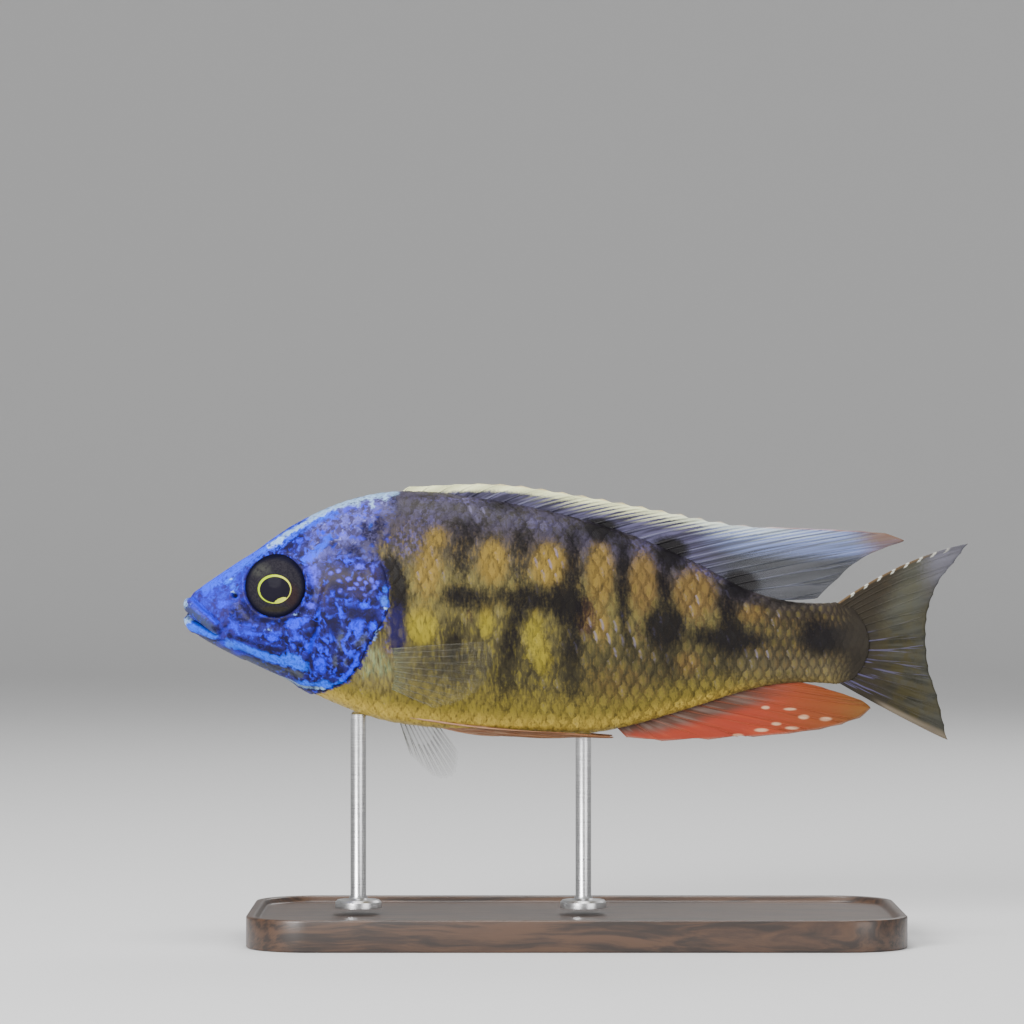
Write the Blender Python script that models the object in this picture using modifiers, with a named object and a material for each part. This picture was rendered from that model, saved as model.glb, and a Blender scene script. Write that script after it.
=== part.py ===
"""A taiwan reef cichlid as a life-size museum model on a plain stand.

Named sizes are millimetres. Along the fish they run from the tip of the snout, and heights
run up from the underside of the base. The finished model is in metres, with the fish facing
-X, its left side towards -Y, and the origin under the middle of the base.
"""
import math

import bmesh
import bpy
from mathutils import Vector

MM = 0.001
GAP = 0.3

TOTAL_LENGTH = 150.0
BODY_LENGTH = 127.0

# The body: outlines as (distance behind the snout, height), and half widths.
BACK_LINE = [
    (0.0, 64.9), (1.7, 66.1), (5.8, 69.0), (12.7, 73.6), (22.9, 80.3), (33.1, 84.4), (43.0, 85.7),
    (54.8, 84.6), (70.1, 81.8), (85.4, 77.4), (98.8, 71.6), (107.0, 67.2), (114.5, 64.9),
    (121.0, 64.3), (127.0, 64.3),
]
BELLY_LINE = [
    (0.0, 60.4), (3.4, 57.5), (11.0, 53.4), (21.2, 48.6), (29.7, 44.6), (37.7, 41.8),
    (45.0, 40.6), (54.0, 39.8), (66.0, 39.2), (77.0, 39.2), (85.0, 40.6), (97.1, 44.1), (108.0, 47.5),
    (116.0, 48.8), (127.0, 48.7),
]
HALF_WIDTH = [
    (0.0, 2.6), (4.0, 4.1), (10.0, 6.3), (18.0, 8.4), (26.0, 9.9), (36.0, 11.0), (47.0, 11.3),
    (62.0, 10.8), (76.0, 9.5), (90.0, 7.6), (104.0, 5.5), (115.0, 3.9), (122.0, 2.6), (127.0, 1.2),
]
WIDEST_SHARE = [(0.0, 0.45), (20.0, 0.42), (45.0, 0.54), (80.0, 0.55), (127.0, 0.5)]
UPPER_ROUNDNESS = [(0.0, 2.1), (18.0, 2.3), (34.0, 2.0), (50.0, 1.85), (127.0, 1.9)]
LOWER_ROUNDNESS = [(0.0, 2.1), (25.0, 2.0), (60.0, 2.15), (127.0, 1.95)]
NOSE_START = 0.6
NOSE_ROUND = 1.6
NOSE_HEIGHT = 62.6
SECTION_POINTS = 36
NOSE_STATIONS = (0.05, 0.3, 0.8, 1.5, 2.4, 3.5)
HEAD_SPACING = 2.1
HEAD_STATIONS = 18
FIRST_SPACED_STATION = 5.6
TRUNK_SPACING = 4.6

# Side-view lines along which the body is parted.
MOUTH_LINE = [(-3.0, 63.2), (0.3, 62.6), (1.6, 61.2), (3.9, 59.7), (6.9, 57.9)]
JAW_BACK_LINE = [(9.6, 56.6), (12.8, 54.6), (13.6, 50.0), (13.0, 45.0)]
MOUTH_OPENING = 0.5
GILL_LINE = [
    (40.4, 95.0), (39.6, 82.0), (37.8, 74.6), (38.9, 71.2), (39.8, 67.0), (39.6, 62.8),
    (37.9, 59.4), (35.7, 56.3), (34.2, 52.6), (31.8, 49.6), (28.0, 47.8), (24.0, 46.4), (19.0, 42.0),
]
COVER_FRONT_LINE = [
    (23.6, 48.0), (24.4, 51.0), (25.7, 56.0), (26.5, 61.5), (27.4, 66.0), (29.4, 69.8), (32.6, 72.2),
    (36.6, 73.0),
]
COVER_TOP = 72.9
COVER_BOTTOM = 47.2
STALK_CUT = 114.6
COVER_THICKNESS = 1.2
COVER_STANDS_PROUD = 0.45
COVER_RISES_FROM = 24.0
COVER_RISES_OVER = 14.0
COVER_SEAT_BELOW = 2.0
COVER_SEAT_BEHIND = 8.0
COVER_INNER_SIDE = 2.0
JAW_UNDERSIDE = (19.0, 42.0)

# How far the side-view regions reach past the body, in front, below, above and across.
REGION_FRONT = -3.0
REGION_BOTTOM = 30.0
REGION_CHIN = 45.0
REGION_TOP = 95.0
REGION_SIDE = 40.0
REGION_BACK = BODY_LENGTH + 5.0

# The head's features.
EYE_CENTRE = (18.0, 67.5)
EYE_RADIUS = 6.3
EYE_DEPTH = 2.9
EYE_BULGE = 1.6
EYE_TILT = 0.7
RIM_RADIUS = 6.2
RIM_THICKNESS = 0.5
RIM_SINK = 0.1
NOSTRIL = (10.1, 65.8)
NOSTRIL_RADIUS = 0.55
NOSTRIL_DEPTH = 0.9
UPPER_LIP = [(1.2, 64.0), (2.3, 62.8), (4.4, 61.2), (6.8, 59.3)]
UPPER_LIP_RADII = (1.2, 0.6)
LOWER_LIP = [(1.0, 60.9), (2.0, 60.0), (4.0, 58.8), (6.4, 57.5)]
LOWER_LIP_RADII = (1.0, 0.4)
LIP_SINK = 0.3
LIP_TURN = 4.0
LIP_CORNER = 0.6
SKIN_STEP = 0.5

# Rays: how thick they and their membranes are, from root to tip, where the membrane beside
# a ray begins, and how far it reaches past the first and last ray, as shares of the gap.
RAY_RADII = (0.6, 0.3)
MEMBRANE_RADII = (0.32, 0.22)
MEMBRANE_SHARES = (0.28, 0.72)
FIN_RIM = -0.18
FIN_SINK = 1.6
RAY_STEPS = 4
LONG_RAY_STEPS = 5
SPINE_NOTCH = 0.22
RAY_NOTCH = 0.05
PAIRED_FIN_THINNESS = 0.85

# The dorsal fin is folded: 17 spines, then 10 branched rays.
DORSAL_SPINES = 17
DORSAL_RAYS = 27
DORSAL_FOOT = [(0, 41.2), (16, 88.2), (17, 90.4), (26, 107.4)]
DORSAL_TIP_X = [
    (0, 43.4), (4, 60.6), (8, 76.4), (12, 91.5), (16, 107.2), (19, 124.6), (21, 134.2), (22, 137.8),
    (23, 133.8), (24, 129.0), (25, 125.2), (26, 121.2),
]
DORSAL_TIP_Z = [
    (0, 86.4), (4, 86.9), (8, 84.7), (12, 81.9), (16, 79.1), (19, 78.2), (21, 77.5), (22, 76.1),
    (23, 74.6), (24, 72.2), (25, 68.9), (26, 65.1),
]
DORSAL_BOW = [(0, 0.4), (20, 0.4), (23, 0.3), (26, -0.4)]

# The anal fin is folded: 3 spines and 9 rays.
ANAL_RAYS = 12
ANAL_FOOT = [(0, 82.2), (3, 90.0), (11, 112.7)]
ANAL_TIP_X = [
    (0, 84.8), (1, 91.5), (3, 109.0), (5, 121.6), (7, 129.3), (8, 131.4), (9, 129.6), (11, 122.0),
]
ANAL_TIP_Z = [
    (0, 38.5), (1, 37.8), (3, 38.6), (5, 40.0), (7, 42.2), (8, 44.1), (9, 45.6), (11, 48.1),
]

# The tail fin: 16 rays that fan from the end of the stalk.
CAUDAL_RAYS = 16
CAUDAL_FOOT_Z = [(0, 63.3), (15, 49.8)]
CAUDAL_FOOT_X = 124.2
CAUDAL_TIP_X = [(0, 150.0), (2, 147.3), (4, 144.3), (7, 142.1), (10, 142.4), (12, 144.1), (15, 146.1)]
CAUDAL_TIP_Z = [(0, 75.5), (2, 71.9), (4, 68.0), (7, 61.0), (10, 52.2), (12, 46.6), (15, 38.0)]
CAUDAL_BOW = [(0, 1.7), (5, 0.3), (15, -0.3)]

# A pectoral fin fans from a short root behind the gill cover. The near one trails level,
# the far one is swung down.
PECTORAL_RAYS = 10
PECTORAL_ROOT_TOP = (37.6, 55.5)
PECTORAL_ROOT_LOW = (38.9, 48.6)
PECTORAL_BOW = 0.5
LEFT_PECTORAL_TIP_X = [(0, 58.0), (2, 59.6), (5, 57.8), (7, 54.0), (9, 48.4)]
LEFT_PECTORAL_TIP_Z = [(0, 57.4), (2, 54.8), (5, 49.6), (7, 46.4), (9, 44.6)]
LEFT_PECTORAL_SPLAY = [(0, 0.46), (9, 0.40)]
RIGHT_PECTORAL_TIP_X = [(0, 52.4), (3, 51.9), (5, 50.2), (7, 47.6), (9, 43.2)]
RIGHT_PECTORAL_TIP_Z = [(0, 34.2), (3, 30.6), (5, 29.5), (7, 30.2), (9, 34.4)]
RIGHT_PECTORAL_SPLAY = [(0, 0.60), (9, 0.16)]

# A pelvic fin lies folded under the belly, a spine and 5 rays.
PELVIC_RAYS = 6
PELVIC_ROOT_OUTER = (41.4, 3.9, 43.0)
PELVIC_ROOT_INNER = (45.0, 1.7, 42.0)
PELVIC_TIP_X = [(0, 69.0), (1, 82.0), (2, 79.0), (3, 72.0), (5, 59.0)]
PELVIC_TIP_Y = [(0, 4.9), (1, 4.1), (2, 3.3), (3, 2.3), (5, 0.9)]
PELVIC_TIP_Z = [(0, 39.8), (1, 38.8), (2, 38.6), (3, 38.5), (5, 38.8)]
PELVIC_BOW = -0.6
PELVIC_FACING = Vector((0, -0.3, 0.95))

# The stand.
BASE_LENGTH = 124.0
BASE_WIDTH = 58.0
BASE_HEIGHT = 6.0
BASE_CORNER = 12.0
BASE_EDGE = 1.0
CORNER_SEGMENTS = 6
EDGE_SEGMENTS = 2
ROD_RADIUS = 1.5
FLANGE_RADIUS = 4.5
FLANGE_HEIGHT = 1.6
FLANGE_EDGE = 0.5
ROD_SEGMENTS = 20
ROD_TOP_MARGIN = 3.0
FRONT_ROD = 33.5
REAR_ROD = 76.5

MERGE_DISTANCE = 0.001 * MM
SHARP_ANGLE = 40.0


def smooth(points, x):
    """Read a smooth curve through (x, value) points at x."""
    if x <= points[0][0]:
        return points[0][1]
    if x >= points[-1][0]:
        return points[-1][1]
    start = 0
    while points[start + 1][0] < x:
        start += 1
    (x0, v0), (x1, v1) = points[start], points[start + 1]
    before = points[start - 1] if start else points[start]
    after = points[start + 2] if start + 2 < len(points) else points[start + 1]
    slope0 = (v1 - before[1]) / (x1 - before[0])
    slope1 = (after[1] - v0) / (after[0] - x0)
    span = x1 - x0
    t = (x - x0) / span
    rise0 = t * (1 - t) ** 2 * span * slope0
    rise1 = t * t * (t - 1) * span * slope1
    blend = t * t * (3 - 2 * t)
    return v0 + (v1 - v0) * blend + rise0 + rise1


def rounded(line, parts=2):
    """Round a line of (x, z) points by a smooth curve through them."""
    xs = [(number, x) for number, (x, z) in enumerate(line)]
    zs = [(number, z) for number, (x, z) in enumerate(line)]
    steps = parts * (len(line) - 1)
    return [(smooth(xs, step / parts), smooth(zs, step / parts)) for step in range(steps + 1)]


def place(x, y, z):
    """Turn millimetres behind the snout, across and up into the model's metres."""
    return Vector((x - TOTAL_LENGTH / 2, y, z)) * MM


def power(value, exponent):
    """Raise a signed number to a power and keep its sign."""
    return math.copysign(abs(value) ** exponent, value)


def section_size(x, grow):
    """Give the top, bottom, widest height and half width of the body at x, grown all round."""
    back = min(max((x - NOSE_START) / NOSE_ROUND, 0.0), 1.0)
    nose = math.sqrt(1 - (1 - back) ** 2)
    top = NOSE_HEIGHT + (smooth(BACK_LINE, x) - NOSE_HEIGHT) * nose + grow
    bottom = NOSE_HEIGHT + (smooth(BELLY_LINE, x) - NOSE_HEIGHT) * nose - grow
    widest = bottom + (top - bottom) * smooth(WIDEST_SHARE, x)
    half_width = smooth(HALF_WIDTH, x) * nose + grow
    return top, bottom, widest, half_width


def section_point(x, turn, grow):
    """Give the point of the body's skin at x, turned by an angle from the top of the back."""
    top, bottom, widest, half_width = section_size(x, grow)
    across = math.sin(turn)
    up = math.cos(turn)
    if up >= 0:
        roundness = smooth(UPPER_ROUNDNESS, x)
        height = top - widest
    else:
        roundness = smooth(LOWER_ROUNDNESS, x)
        height = widest - bottom
    y = half_width * power(across, 2 / roundness)
    z = widest + height * power(up, 2 / roundness)
    return y, z


def flank(x, z, grow=0.0):
    """Give how far the body's skin stands from the middle plane at x and height z."""
    top, bottom, widest, half_width = section_size(x, grow)
    if z >= widest:
        roundness = smooth(UPPER_ROUNDNESS, x)
        share = (z - widest) / (top - widest)
    else:
        roundness = smooth(LOWER_ROUNDNESS, x)
        share = (widest - z) / (widest - bottom)
    share = min(share, 1.0)
    return half_width * (1 - share ** roundness) ** (1 / roundness)


def skin_direction(x, z, side, tilt=1.0):
    """Give the way that the skin faces there, with its lean up or down taken times tilt."""
    lean_along = flank(x + SKIN_STEP, z) - flank(x - SKIN_STEP, z)
    lean_up = flank(x, z + SKIN_STEP) - flank(x, z - SKIN_STEP)
    slope = 1 / (2 * SKIN_STEP)
    return Vector((-lean_along * slope, side, -lean_up * slope * tilt)).normalized()


def station_list():
    """Give the distances behind the snout where the body has a section."""
    stations = [NOSE_START + step for step in NOSE_STATIONS]
    stations += [FIRST_SPACED_STATION + HEAD_SPACING * step for step in range(HEAD_STATIONS)]
    while stations[-1] < BODY_LENGTH - 1.3 * TRUNK_SPACING:
        stations.append(stations[-1] + TRUNK_SPACING)
    return stations + [BODY_LENGTH - TRUNK_SPACING / 3, BODY_LENGTH]


def link(name, mesh, group):
    """Put a mesh into the scene as an object of that name in a collection."""
    piece = bpy.data.objects.new(name, mesh)
    group.objects.link(piece)
    return piece


def finish_mesh(sketch, name):
    """Close a bmesh sketch into a mesh with its faces pointing out."""
    bmesh.ops.triangulate(sketch, faces=[face for face in sketch.faces if len(face.verts) > 4])
    bmesh.ops.recalc_face_normals(sketch, faces=sketch.faces)
    mesh = bpy.data.meshes.new(name)
    sketch.to_mesh(mesh)
    sketch.free()
    return mesh


def body_loft(name, group, grow=lambda x: 0.0):
    """Loft the whole body between its sections, grown all round by grow(x)."""
    sketch = bmesh.new()
    stations = station_list()
    rings = []
    for number, x in enumerate(stations):
        end = grow(x) if number == len(stations) - 1 else 0.0
        ring = []
        for step in range(SECTION_POINTS):
            turn = 2 * math.pi * step / SECTION_POINTS
            y, z = section_point(x, turn, grow(x))
            ring.append(sketch.verts.new(place(x + end, y, z)))
        rings.append(ring)
    for ring, following in zip(rings, rings[1:]):
        for step in range(SECTION_POINTS):
            other = (step + 1) % SECTION_POINTS
            sketch.faces.new((ring[step], ring[other], following[other], following[step]))
    sketch.faces.new(rings[0])
    sketch.faces.new(rings[-1])
    return link(name, finish_mesh(sketch, name), group)


def prism(name, outline, group, near=-REGION_SIDE, far=REGION_SIDE):
    """Make a solid with this side-view outline that runs across the fish from near to far."""
    curve = bpy.data.curves.new(name, "CURVE")
    curve.dimensions = "2D"
    curve.fill_mode = "BOTH"
    curve.extrude = (far - near) / 2 * MM
    spline = curve.splines.new("POLY")
    spline.points.add(len(outline) - 1)
    spline.use_cyclic_u = True
    for point, (x, z) in zip(spline.points, outline):
        spot = place(x, 0, z)
        point.co = (spot.x, spot.z, 0.0, 1.0)
    piece = link(name, curve, group)
    piece.rotation_euler = (math.pi / 2, 0, 0)
    piece.location = (0, (far + near) / 2 * MM, 0)
    return as_mesh(piece)


def as_mesh(piece):
    """Turn a curve object into a closed mesh object of the same name and place."""
    name = piece.name
    group = piece.users_collection[0]
    bpy.context.view_layer.update()
    evaluated = piece.evaluated_get(bpy.context.evaluated_depsgraph_get())
    mesh = bpy.data.meshes.new_from_object(evaluated)
    sketch = bmesh.new()
    sketch.from_mesh(mesh)
    bmesh.ops.remove_doubles(sketch, verts=sketch.verts, dist=MERGE_DISTANCE)
    bmesh.ops.transform(sketch, matrix=piece.matrix_world, verts=sketch.verts)
    bmesh.ops.recalc_face_normals(sketch, faces=sketch.faces)
    sketch.to_mesh(mesh)
    sketch.free()
    bpy.data.objects.remove(piece)
    return link(name, mesh, group)


def apply_modifiers(piece):
    """Replace a piece's mesh by what its modifiers make of it."""
    bpy.context.view_layer.update()
    evaluated = piece.evaluated_get(bpy.context.evaluated_depsgraph_get())
    mesh = bpy.data.meshes.new_from_object(evaluated)
    piece.modifiers.clear()
    piece.data = mesh


def carve(piece, tool, operation="DIFFERENCE"):
    """Cut a piece with a tool, or keep only what they share."""
    cut = piece.modifiers.new("carve", "BOOLEAN")
    cut.operation = operation
    cut.object = tool
    apply_modifiers(piece)


def fuse(piece, others):
    """Join closed pieces to one by a single union and remove them."""
    parts = bpy.data.collections.new("fused")
    for other in others:
        for group in list(other.users_collection):
            group.objects.unlink(other)
        parts.objects.link(other)
    bpy.context.scene.collection.children.link(parts)
    union = piece.modifiers.new("fuse", "BOOLEAN")
    union.operation = "UNION"
    union.operand_type = "COLLECTION"
    union.collection = parts
    apply_modifiers(piece)
    for other in others:
        bpy.data.objects.remove(other)
    bpy.data.collections.remove(parts)


def duplicate(piece, name, group):
    """Copy a piece with a mesh of its own."""
    return link(name, piece.data.copy(), group)


def keep_largest(piece):
    """Keep only the largest closed surface of a piece."""
    sketch = bmesh.new()
    sketch.from_mesh(piece.data)
    bmesh.ops.remove_doubles(sketch, verts=sketch.verts, dist=MERGE_DISTANCE)
    islands = []
    waiting = set(sketch.verts)
    while waiting:
        front = [waiting.pop()]
        island = set(front)
        while front:
            vert = front.pop()
            for edge in vert.link_edges:
                other = edge.other_vert(vert)
                if other in waiting:
                    waiting.remove(other)
                    island.add(other)
                    front.append(other)
        islands.append(island)
    largest = max(islands, key=len)
    loose = [vert for vert in sketch.verts if vert not in largest]
    bmesh.ops.delete(sketch, geom=loose, context="VERTS")
    sketch.to_mesh(piece.data)
    sketch.free()


def between(first, second, share):
    """Give the point that is a share of the way from the first to the second."""
    return first + (second - first) * share


def ray_line(root, tip, steps, bow=0.0, aside=Vector((0, 0, 1))):
    """Give the points of a ray from root to tip, bowed aside by that much at its middle."""
    line = []
    for step in range(steps + 1):
        t = step / steps
        line.append(between(root, tip, t) + aside * bow * 4 * t * (1 - t))
    return line


def fin_sheet(name, rays, across, group, thin=1.0, spines=0):
    """Make a closed fin: a ridge along each ray and a thinner membrane between rays.

    Each ray is a list of points. The sheet has its thickness along across. Its edge is notched
    between one ray and the next, more deeply behind the first spines.
    """
    steps = len(rays[0]) - 1
    columns = []
    first_rim = [between(a, b, FIN_RIM) for a, b in zip(rays[0], rays[1])]
    columns.append((first_rim, MEMBRANE_RADII))
    for number, ray in enumerate(rays):
        columns.append((ray, RAY_RADII))
        if number == len(rays) - 1:
            break
        following = rays[number + 1]
        notch = SPINE_NOTCH if number < spines else RAY_NOTCH
        for share in MEMBRANE_SHARES:
            line = [between(a, b, share) for a, b in zip(ray, following)]
            line[-1] = between(line[-1], line[-2], notch)
            columns.append((line, MEMBRANE_RADII))
    last_rim = [between(a, b, FIN_RIM) for a, b in zip(rays[-1], rays[-2])]
    columns.append((last_rim, MEMBRANE_RADII))
    sketch = bmesh.new()
    faces = []
    for side in (1, -1):
        grid = []
        for line, radii in columns:
            column = []
            for step, spot in enumerate(line):
                radius = radii[0] + (radii[1] - radii[0]) * step / steps
                raised = spot + across * radius * thin * side
                column.append(sketch.verts.new(place(*raised)))
            grid.append(column)
        faces.append(grid)
    front, back = faces
    for number in range(len(columns) - 1):
        for step in range(steps):
            for grid in faces:
                a = grid[number][step]
                b = grid[number + 1][step]
                c = grid[number + 1][step + 1]
                d = grid[number][step + 1]
                sketch.faces.new((a, b, c))
                sketch.faces.new((a, c, d))
    for grid_edge in fin_border(front, back, steps):
        sketch.faces.new(grid_edge)
    return link(name, finish_mesh(sketch, name), group)


def fin_border(front, back, steps):
    """Give the faces that close a fin round its border."""
    strips = []
    last = len(front) - 1
    for number in range(last):
        for step in (0, steps):
            a, b = front[number][step], front[number + 1][step]
            c, d = back[number + 1][step], back[number][step]
            strips.append((a, b, c, d))
    for step in range(steps):
        for number in (0, last):
            a, b = front[number][step], front[number][step + 1]
            c, d = back[number][step + 1], back[number][step]
            strips.append((a, b, c, d))
    return strips


def tube(name, line, radii, group):
    """Make a closed tube along a line, with its own radius at each point."""
    curve = bpy.data.curves.new(name, "CURVE")
    curve.dimensions = "3D"
    curve.bevel_depth = MM
    curve.bevel_resolution = 1
    curve.use_fill_caps = True
    spline = curve.splines.new("POLY")
    spline.points.add(len(line) - 1)
    for point, spot, radius in zip(spline.points, line, radii):
        point.co = (*place(*spot), 1.0)
        point.radius = radius
    return as_mesh(link(name, curve, group))


def lip(name, centre_line, radii, group):
    """Make one lip: a tube along the skin from one corner of the mouth round to the other."""
    centres = rounded(centre_line)
    side = []
    for step, (x, z) in enumerate(centres):
        t = step / (len(centres) - 1)
        corner = min(1.0, LIP_TURN * t) ** LIP_CORNER
        y = (flank(x + SKIN_STEP, z) - LIP_SINK) * corner
        radius = radii[0] + (radii[1] - radii[0]) * t
        side.append((x, y, z, radius))
    line = [(x, -y, z) for x, y, z, radius in reversed(side)]
    line += [(x, y, z) for x, y, z, radius in side[1:]]
    sizes = [radius for x, y, z, radius in reversed(side)]
    sizes += [radius for x, y, z, radius in side[1:]]
    return tube(name, line, sizes, group)


def eye_ball(name, side, grow, group):
    """Make an eyeball, or its socket where it is grown, sunk into the side of the head."""
    x, z = EYE_CENTRE
    facing = skin_direction(x, z, side, EYE_TILT)
    middle = place(x, side * flank(x, z), z) + facing * (EYE_BULGE - EYE_DEPTH) * MM
    return ball(name, middle, facing, EYE_RADIUS + grow, EYE_DEPTH + grow, group)


def ball(name, spot, facing, radius, depth, group, segments=18, rings=10):
    """Make a round lens of that radius and half depth, which faces one way."""
    bpy.ops.mesh.primitive_uv_sphere_add(segments=segments, ring_count=rings, radius=1.0)
    piece = bpy.context.object
    piece.name = name
    sketch = bmesh.new()
    sketch.from_mesh(piece.data)
    bmesh.ops.scale(sketch, vec=(radius * MM, radius * MM, depth * MM), verts=sketch.verts)
    turn = facing.to_track_quat("Z", "Y").to_matrix()
    bmesh.ops.rotate(sketch, matrix=turn, verts=sketch.verts)
    bmesh.ops.translate(sketch, vec=spot, verts=sketch.verts)
    sketch.to_mesh(piece.data)
    sketch.free()
    for owner in list(piece.users_collection):
        owner.objects.unlink(piece)
    group.objects.link(piece)
    return piece


def rim(side, group):
    """Make the raised rim round an eye."""
    bpy.ops.mesh.primitive_torus_add(
        major_segments=24, minor_segments=5,
        major_radius=RIM_RADIUS * MM, minor_radius=RIM_THICKNESS * MM,
    )
    piece = bpy.context.object
    x0, z0 = EYE_CENTRE
    for vert in piece.data.vertices:
        x = x0 + vert.co.x / MM
        z = z0 + vert.co.y / MM
        y = side * (flank(x, z) - RIM_SINK) + vert.co.z / MM
        vert.co = place(x, y, z)
    sketch = bmesh.new()
    sketch.from_mesh(piece.data)
    bmesh.ops.recalc_face_normals(sketch, faces=sketch.faces)
    sketch.to_mesh(piece.data)
    sketch.free()
    for owner in list(piece.users_collection):
        owner.objects.unlink(piece)
    group.objects.link(piece)
    return piece


def nostril_tool(side, group):
    """Make the tool that sinks a nostril."""
    x, z = NOSTRIL
    spot = place(x, side * flank(x, z), z)
    facing = skin_direction(x, z, side)
    return ball("nostril", spot, facing, NOSTRIL_RADIUS, NOSTRIL_DEPTH, group, 10, 6)


def shifted(line, dx, dz):
    """Move a side-view line."""
    return [(x + dx, z + dz) for x, z in line]


def flesh(parts, tools):
    """Make the head, lower jaw, gill covers, trunk and tail stalk from one body."""
    whole = body_loft("whole_body", tools)
    extras = [lip("upper_lip", UPPER_LIP, UPPER_LIP_RADII, tools)]
    extras.append(lip("lower_lip", LOWER_LIP, LOWER_LIP_RADII, tools))
    extras += [rim(side, tools) for side in (-1, 1)]
    fuse(whole, extras)

    half = GAP / 2
    jaw_upper_edge = shifted(MOUTH_LINE[:1], 0, -MOUTH_OPENING) + shifted(MOUTH_LINE[1:], 0, -half)
    jaw_outline = jaw_upper_edge + shifted(JAW_BACK_LINE, -half, 0)
    jaw_outline.append((REGION_FRONT, REGION_CHIN))
    head_lower_edge = shifted(MOUTH_LINE[:1], 0, MOUTH_OPENING) + shifted(MOUTH_LINE[1:], 0, half)
    head_outline = head_lower_edge + shifted(JAW_BACK_LINE, half, 0)
    head_outline += shifted([JAW_UNDERSIDE], -half, 0)
    gill_line = rounded(GILL_LINE)
    head_outline += shifted(gill_line[-2::-1], -half, 0) + [(REGION_FRONT, REGION_TOP)]
    trunk_outline = shifted(gill_line, half, 0)
    trunk_outline += [
        (JAW_UNDERSIDE[0], REGION_BOTTOM), (STALK_CUT - half, REGION_BOTTOM),
        (STALK_CUT - half, REGION_TOP),
    ]
    stalk_outline = [
        (STALK_CUT + half, REGION_BOTTOM), (REGION_BACK, REGION_BOTTOM),
        (REGION_BACK, REGION_TOP), (STALK_CUT + half, REGION_TOP),
    ]
    nodes = {}
    outlines = {
        "head": head_outline, "lower_jaw": jaw_outline,
        "trunk": trunk_outline, "tail_stalk": stalk_outline,
    }
    for name, outline in outlines.items():
        piece = duplicate(whole, name, parts)
        region = prism(name + "_region", outline, tools)
        carve(piece, region, "INTERSECT")
        bpy.data.objects.remove(region)
        nodes[name] = piece
    bpy.data.objects.remove(whole)

    nodes.update(gill_covers(nodes["head"], parts, tools))
    for side in (-1, 1):
        socket = eye_ball("socket", side, GAP, tools)
        carve(nodes["head"], socket)
        bpy.data.objects.remove(socket)
        pit = nostril_tool(side, tools)
        carve(nodes["head"], pit)
        bpy.data.objects.remove(pit)
    for piece in nodes.values():
        keep_largest(piece)
    return nodes


def gill_covers(head, parts, tools):
    """Part a raised plate from each side of the head."""
    front_edge = rounded(COVER_FRONT_LINE)
    rear_line = [spot for spot in rounded(GILL_LINE) if COVER_BOTTOM < spot[1] < COVER_TOP]
    cover_outline = front_edge + shifted(rear_line, -GAP / 2, 0)
    seat_outline = shifted(front_edge, -GAP, 0)
    low_x, low_z = seat_outline[0]
    seat_outline[0] = (low_x, low_z - COVER_SEAT_BELOW)
    high_x, high_z = front_edge[-1]
    seat_outline[-1] = (high_x, high_z + GAP)
    seat_back = high_x + COVER_SEAT_BEHIND
    seat_outline += [(seat_back, high_z + GAP), (seat_back, REGION_CHIN - COVER_SEAT_BEHIND)]

    def proud(x):
        share = min(max((x - COVER_RISES_FROM) / COVER_RISES_OVER, 0.0), 1.0)
        return COVER_STANDS_PROUD * share

    core = body_loft("core", tools, lambda x: -COVER_THICKNESS)
    seat_core = body_loft("seat_core", tools, lambda x: -COVER_THICKNESS - GAP)
    covers = {}
    for side, name in ((-1, "gill_cover_left"), (1, "gill_cover_right")):
        near, far = sorted((side * COVER_INNER_SIDE, side * REGION_SIDE))
        plate = body_loft(name, parts, proud)
        region = prism("cover_region", cover_outline, tools, near, far)
        carve(plate, region, "INTERSECT")
        carve(plate, core)
        covers[name] = plate
        seat = prism("seat", seat_outline, tools, near - GAP, far + GAP)
        carve(seat, seat_core)
        carve(head, seat)
        for tool in (region, seat):
            bpy.data.objects.remove(tool)
    for tool in (core, seat_core):
        bpy.data.objects.remove(tool)
    return covers


def eyes(parts):
    """Make both eyeballs."""
    return {
        "eye_left": eye_ball("eye_left", -1, 0.0, parts),
        "eye_right": eye_ball("eye_right", 1, 0.0, parts),
    }


def dorsal_fin(parts, hull):
    """Make the folded dorsal fin."""
    rays = []
    for number in range(DORSAL_RAYS):
        foot = smooth(DORSAL_FOOT, number)
        root = Vector((foot, 0, smooth(BACK_LINE, foot) - FIN_SINK))
        tip = Vector((smooth(DORSAL_TIP_X, number), 0, smooth(DORSAL_TIP_Z, number)))
        rays.append(ray_line(root, tip, RAY_STEPS, bow=smooth(DORSAL_BOW, number)))
    fin = fin_sheet("dorsal_fin", rays, Vector((0, 1, 0)), parts, spines=DORSAL_SPINES)
    carve(fin, hull)
    return fin


def anal_fin(parts, hull):
    """Make the folded anal fin."""
    rays = []
    for number in range(ANAL_RAYS):
        foot = smooth(ANAL_FOOT, number)
        root = Vector((foot, 0, smooth(BELLY_LINE, foot) + FIN_SINK))
        tip = Vector((smooth(ANAL_TIP_X, number), 0, smooth(ANAL_TIP_Z, number)))
        rays.append(ray_line(root, tip, RAY_STEPS))
    fin = fin_sheet("anal_fin", rays, Vector((0, 1, 0)), parts)
    carve(fin, hull)
    return fin


def caudal_fin(parts, hull):
    """Make the tail fin."""
    rays = []
    for number in range(CAUDAL_RAYS):
        root = Vector((CAUDAL_FOOT_X, 0, smooth(CAUDAL_FOOT_Z, number)))
        tip = Vector((smooth(CAUDAL_TIP_X, number), 0, smooth(CAUDAL_TIP_Z, number)))
        rays.append(ray_line(root, tip, LONG_RAY_STEPS, bow=smooth(CAUDAL_BOW, number)))
    fin = fin_sheet("caudal_fin", rays, Vector((0, 1, 0)), parts)
    carve(fin, hull)
    return fin


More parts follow.
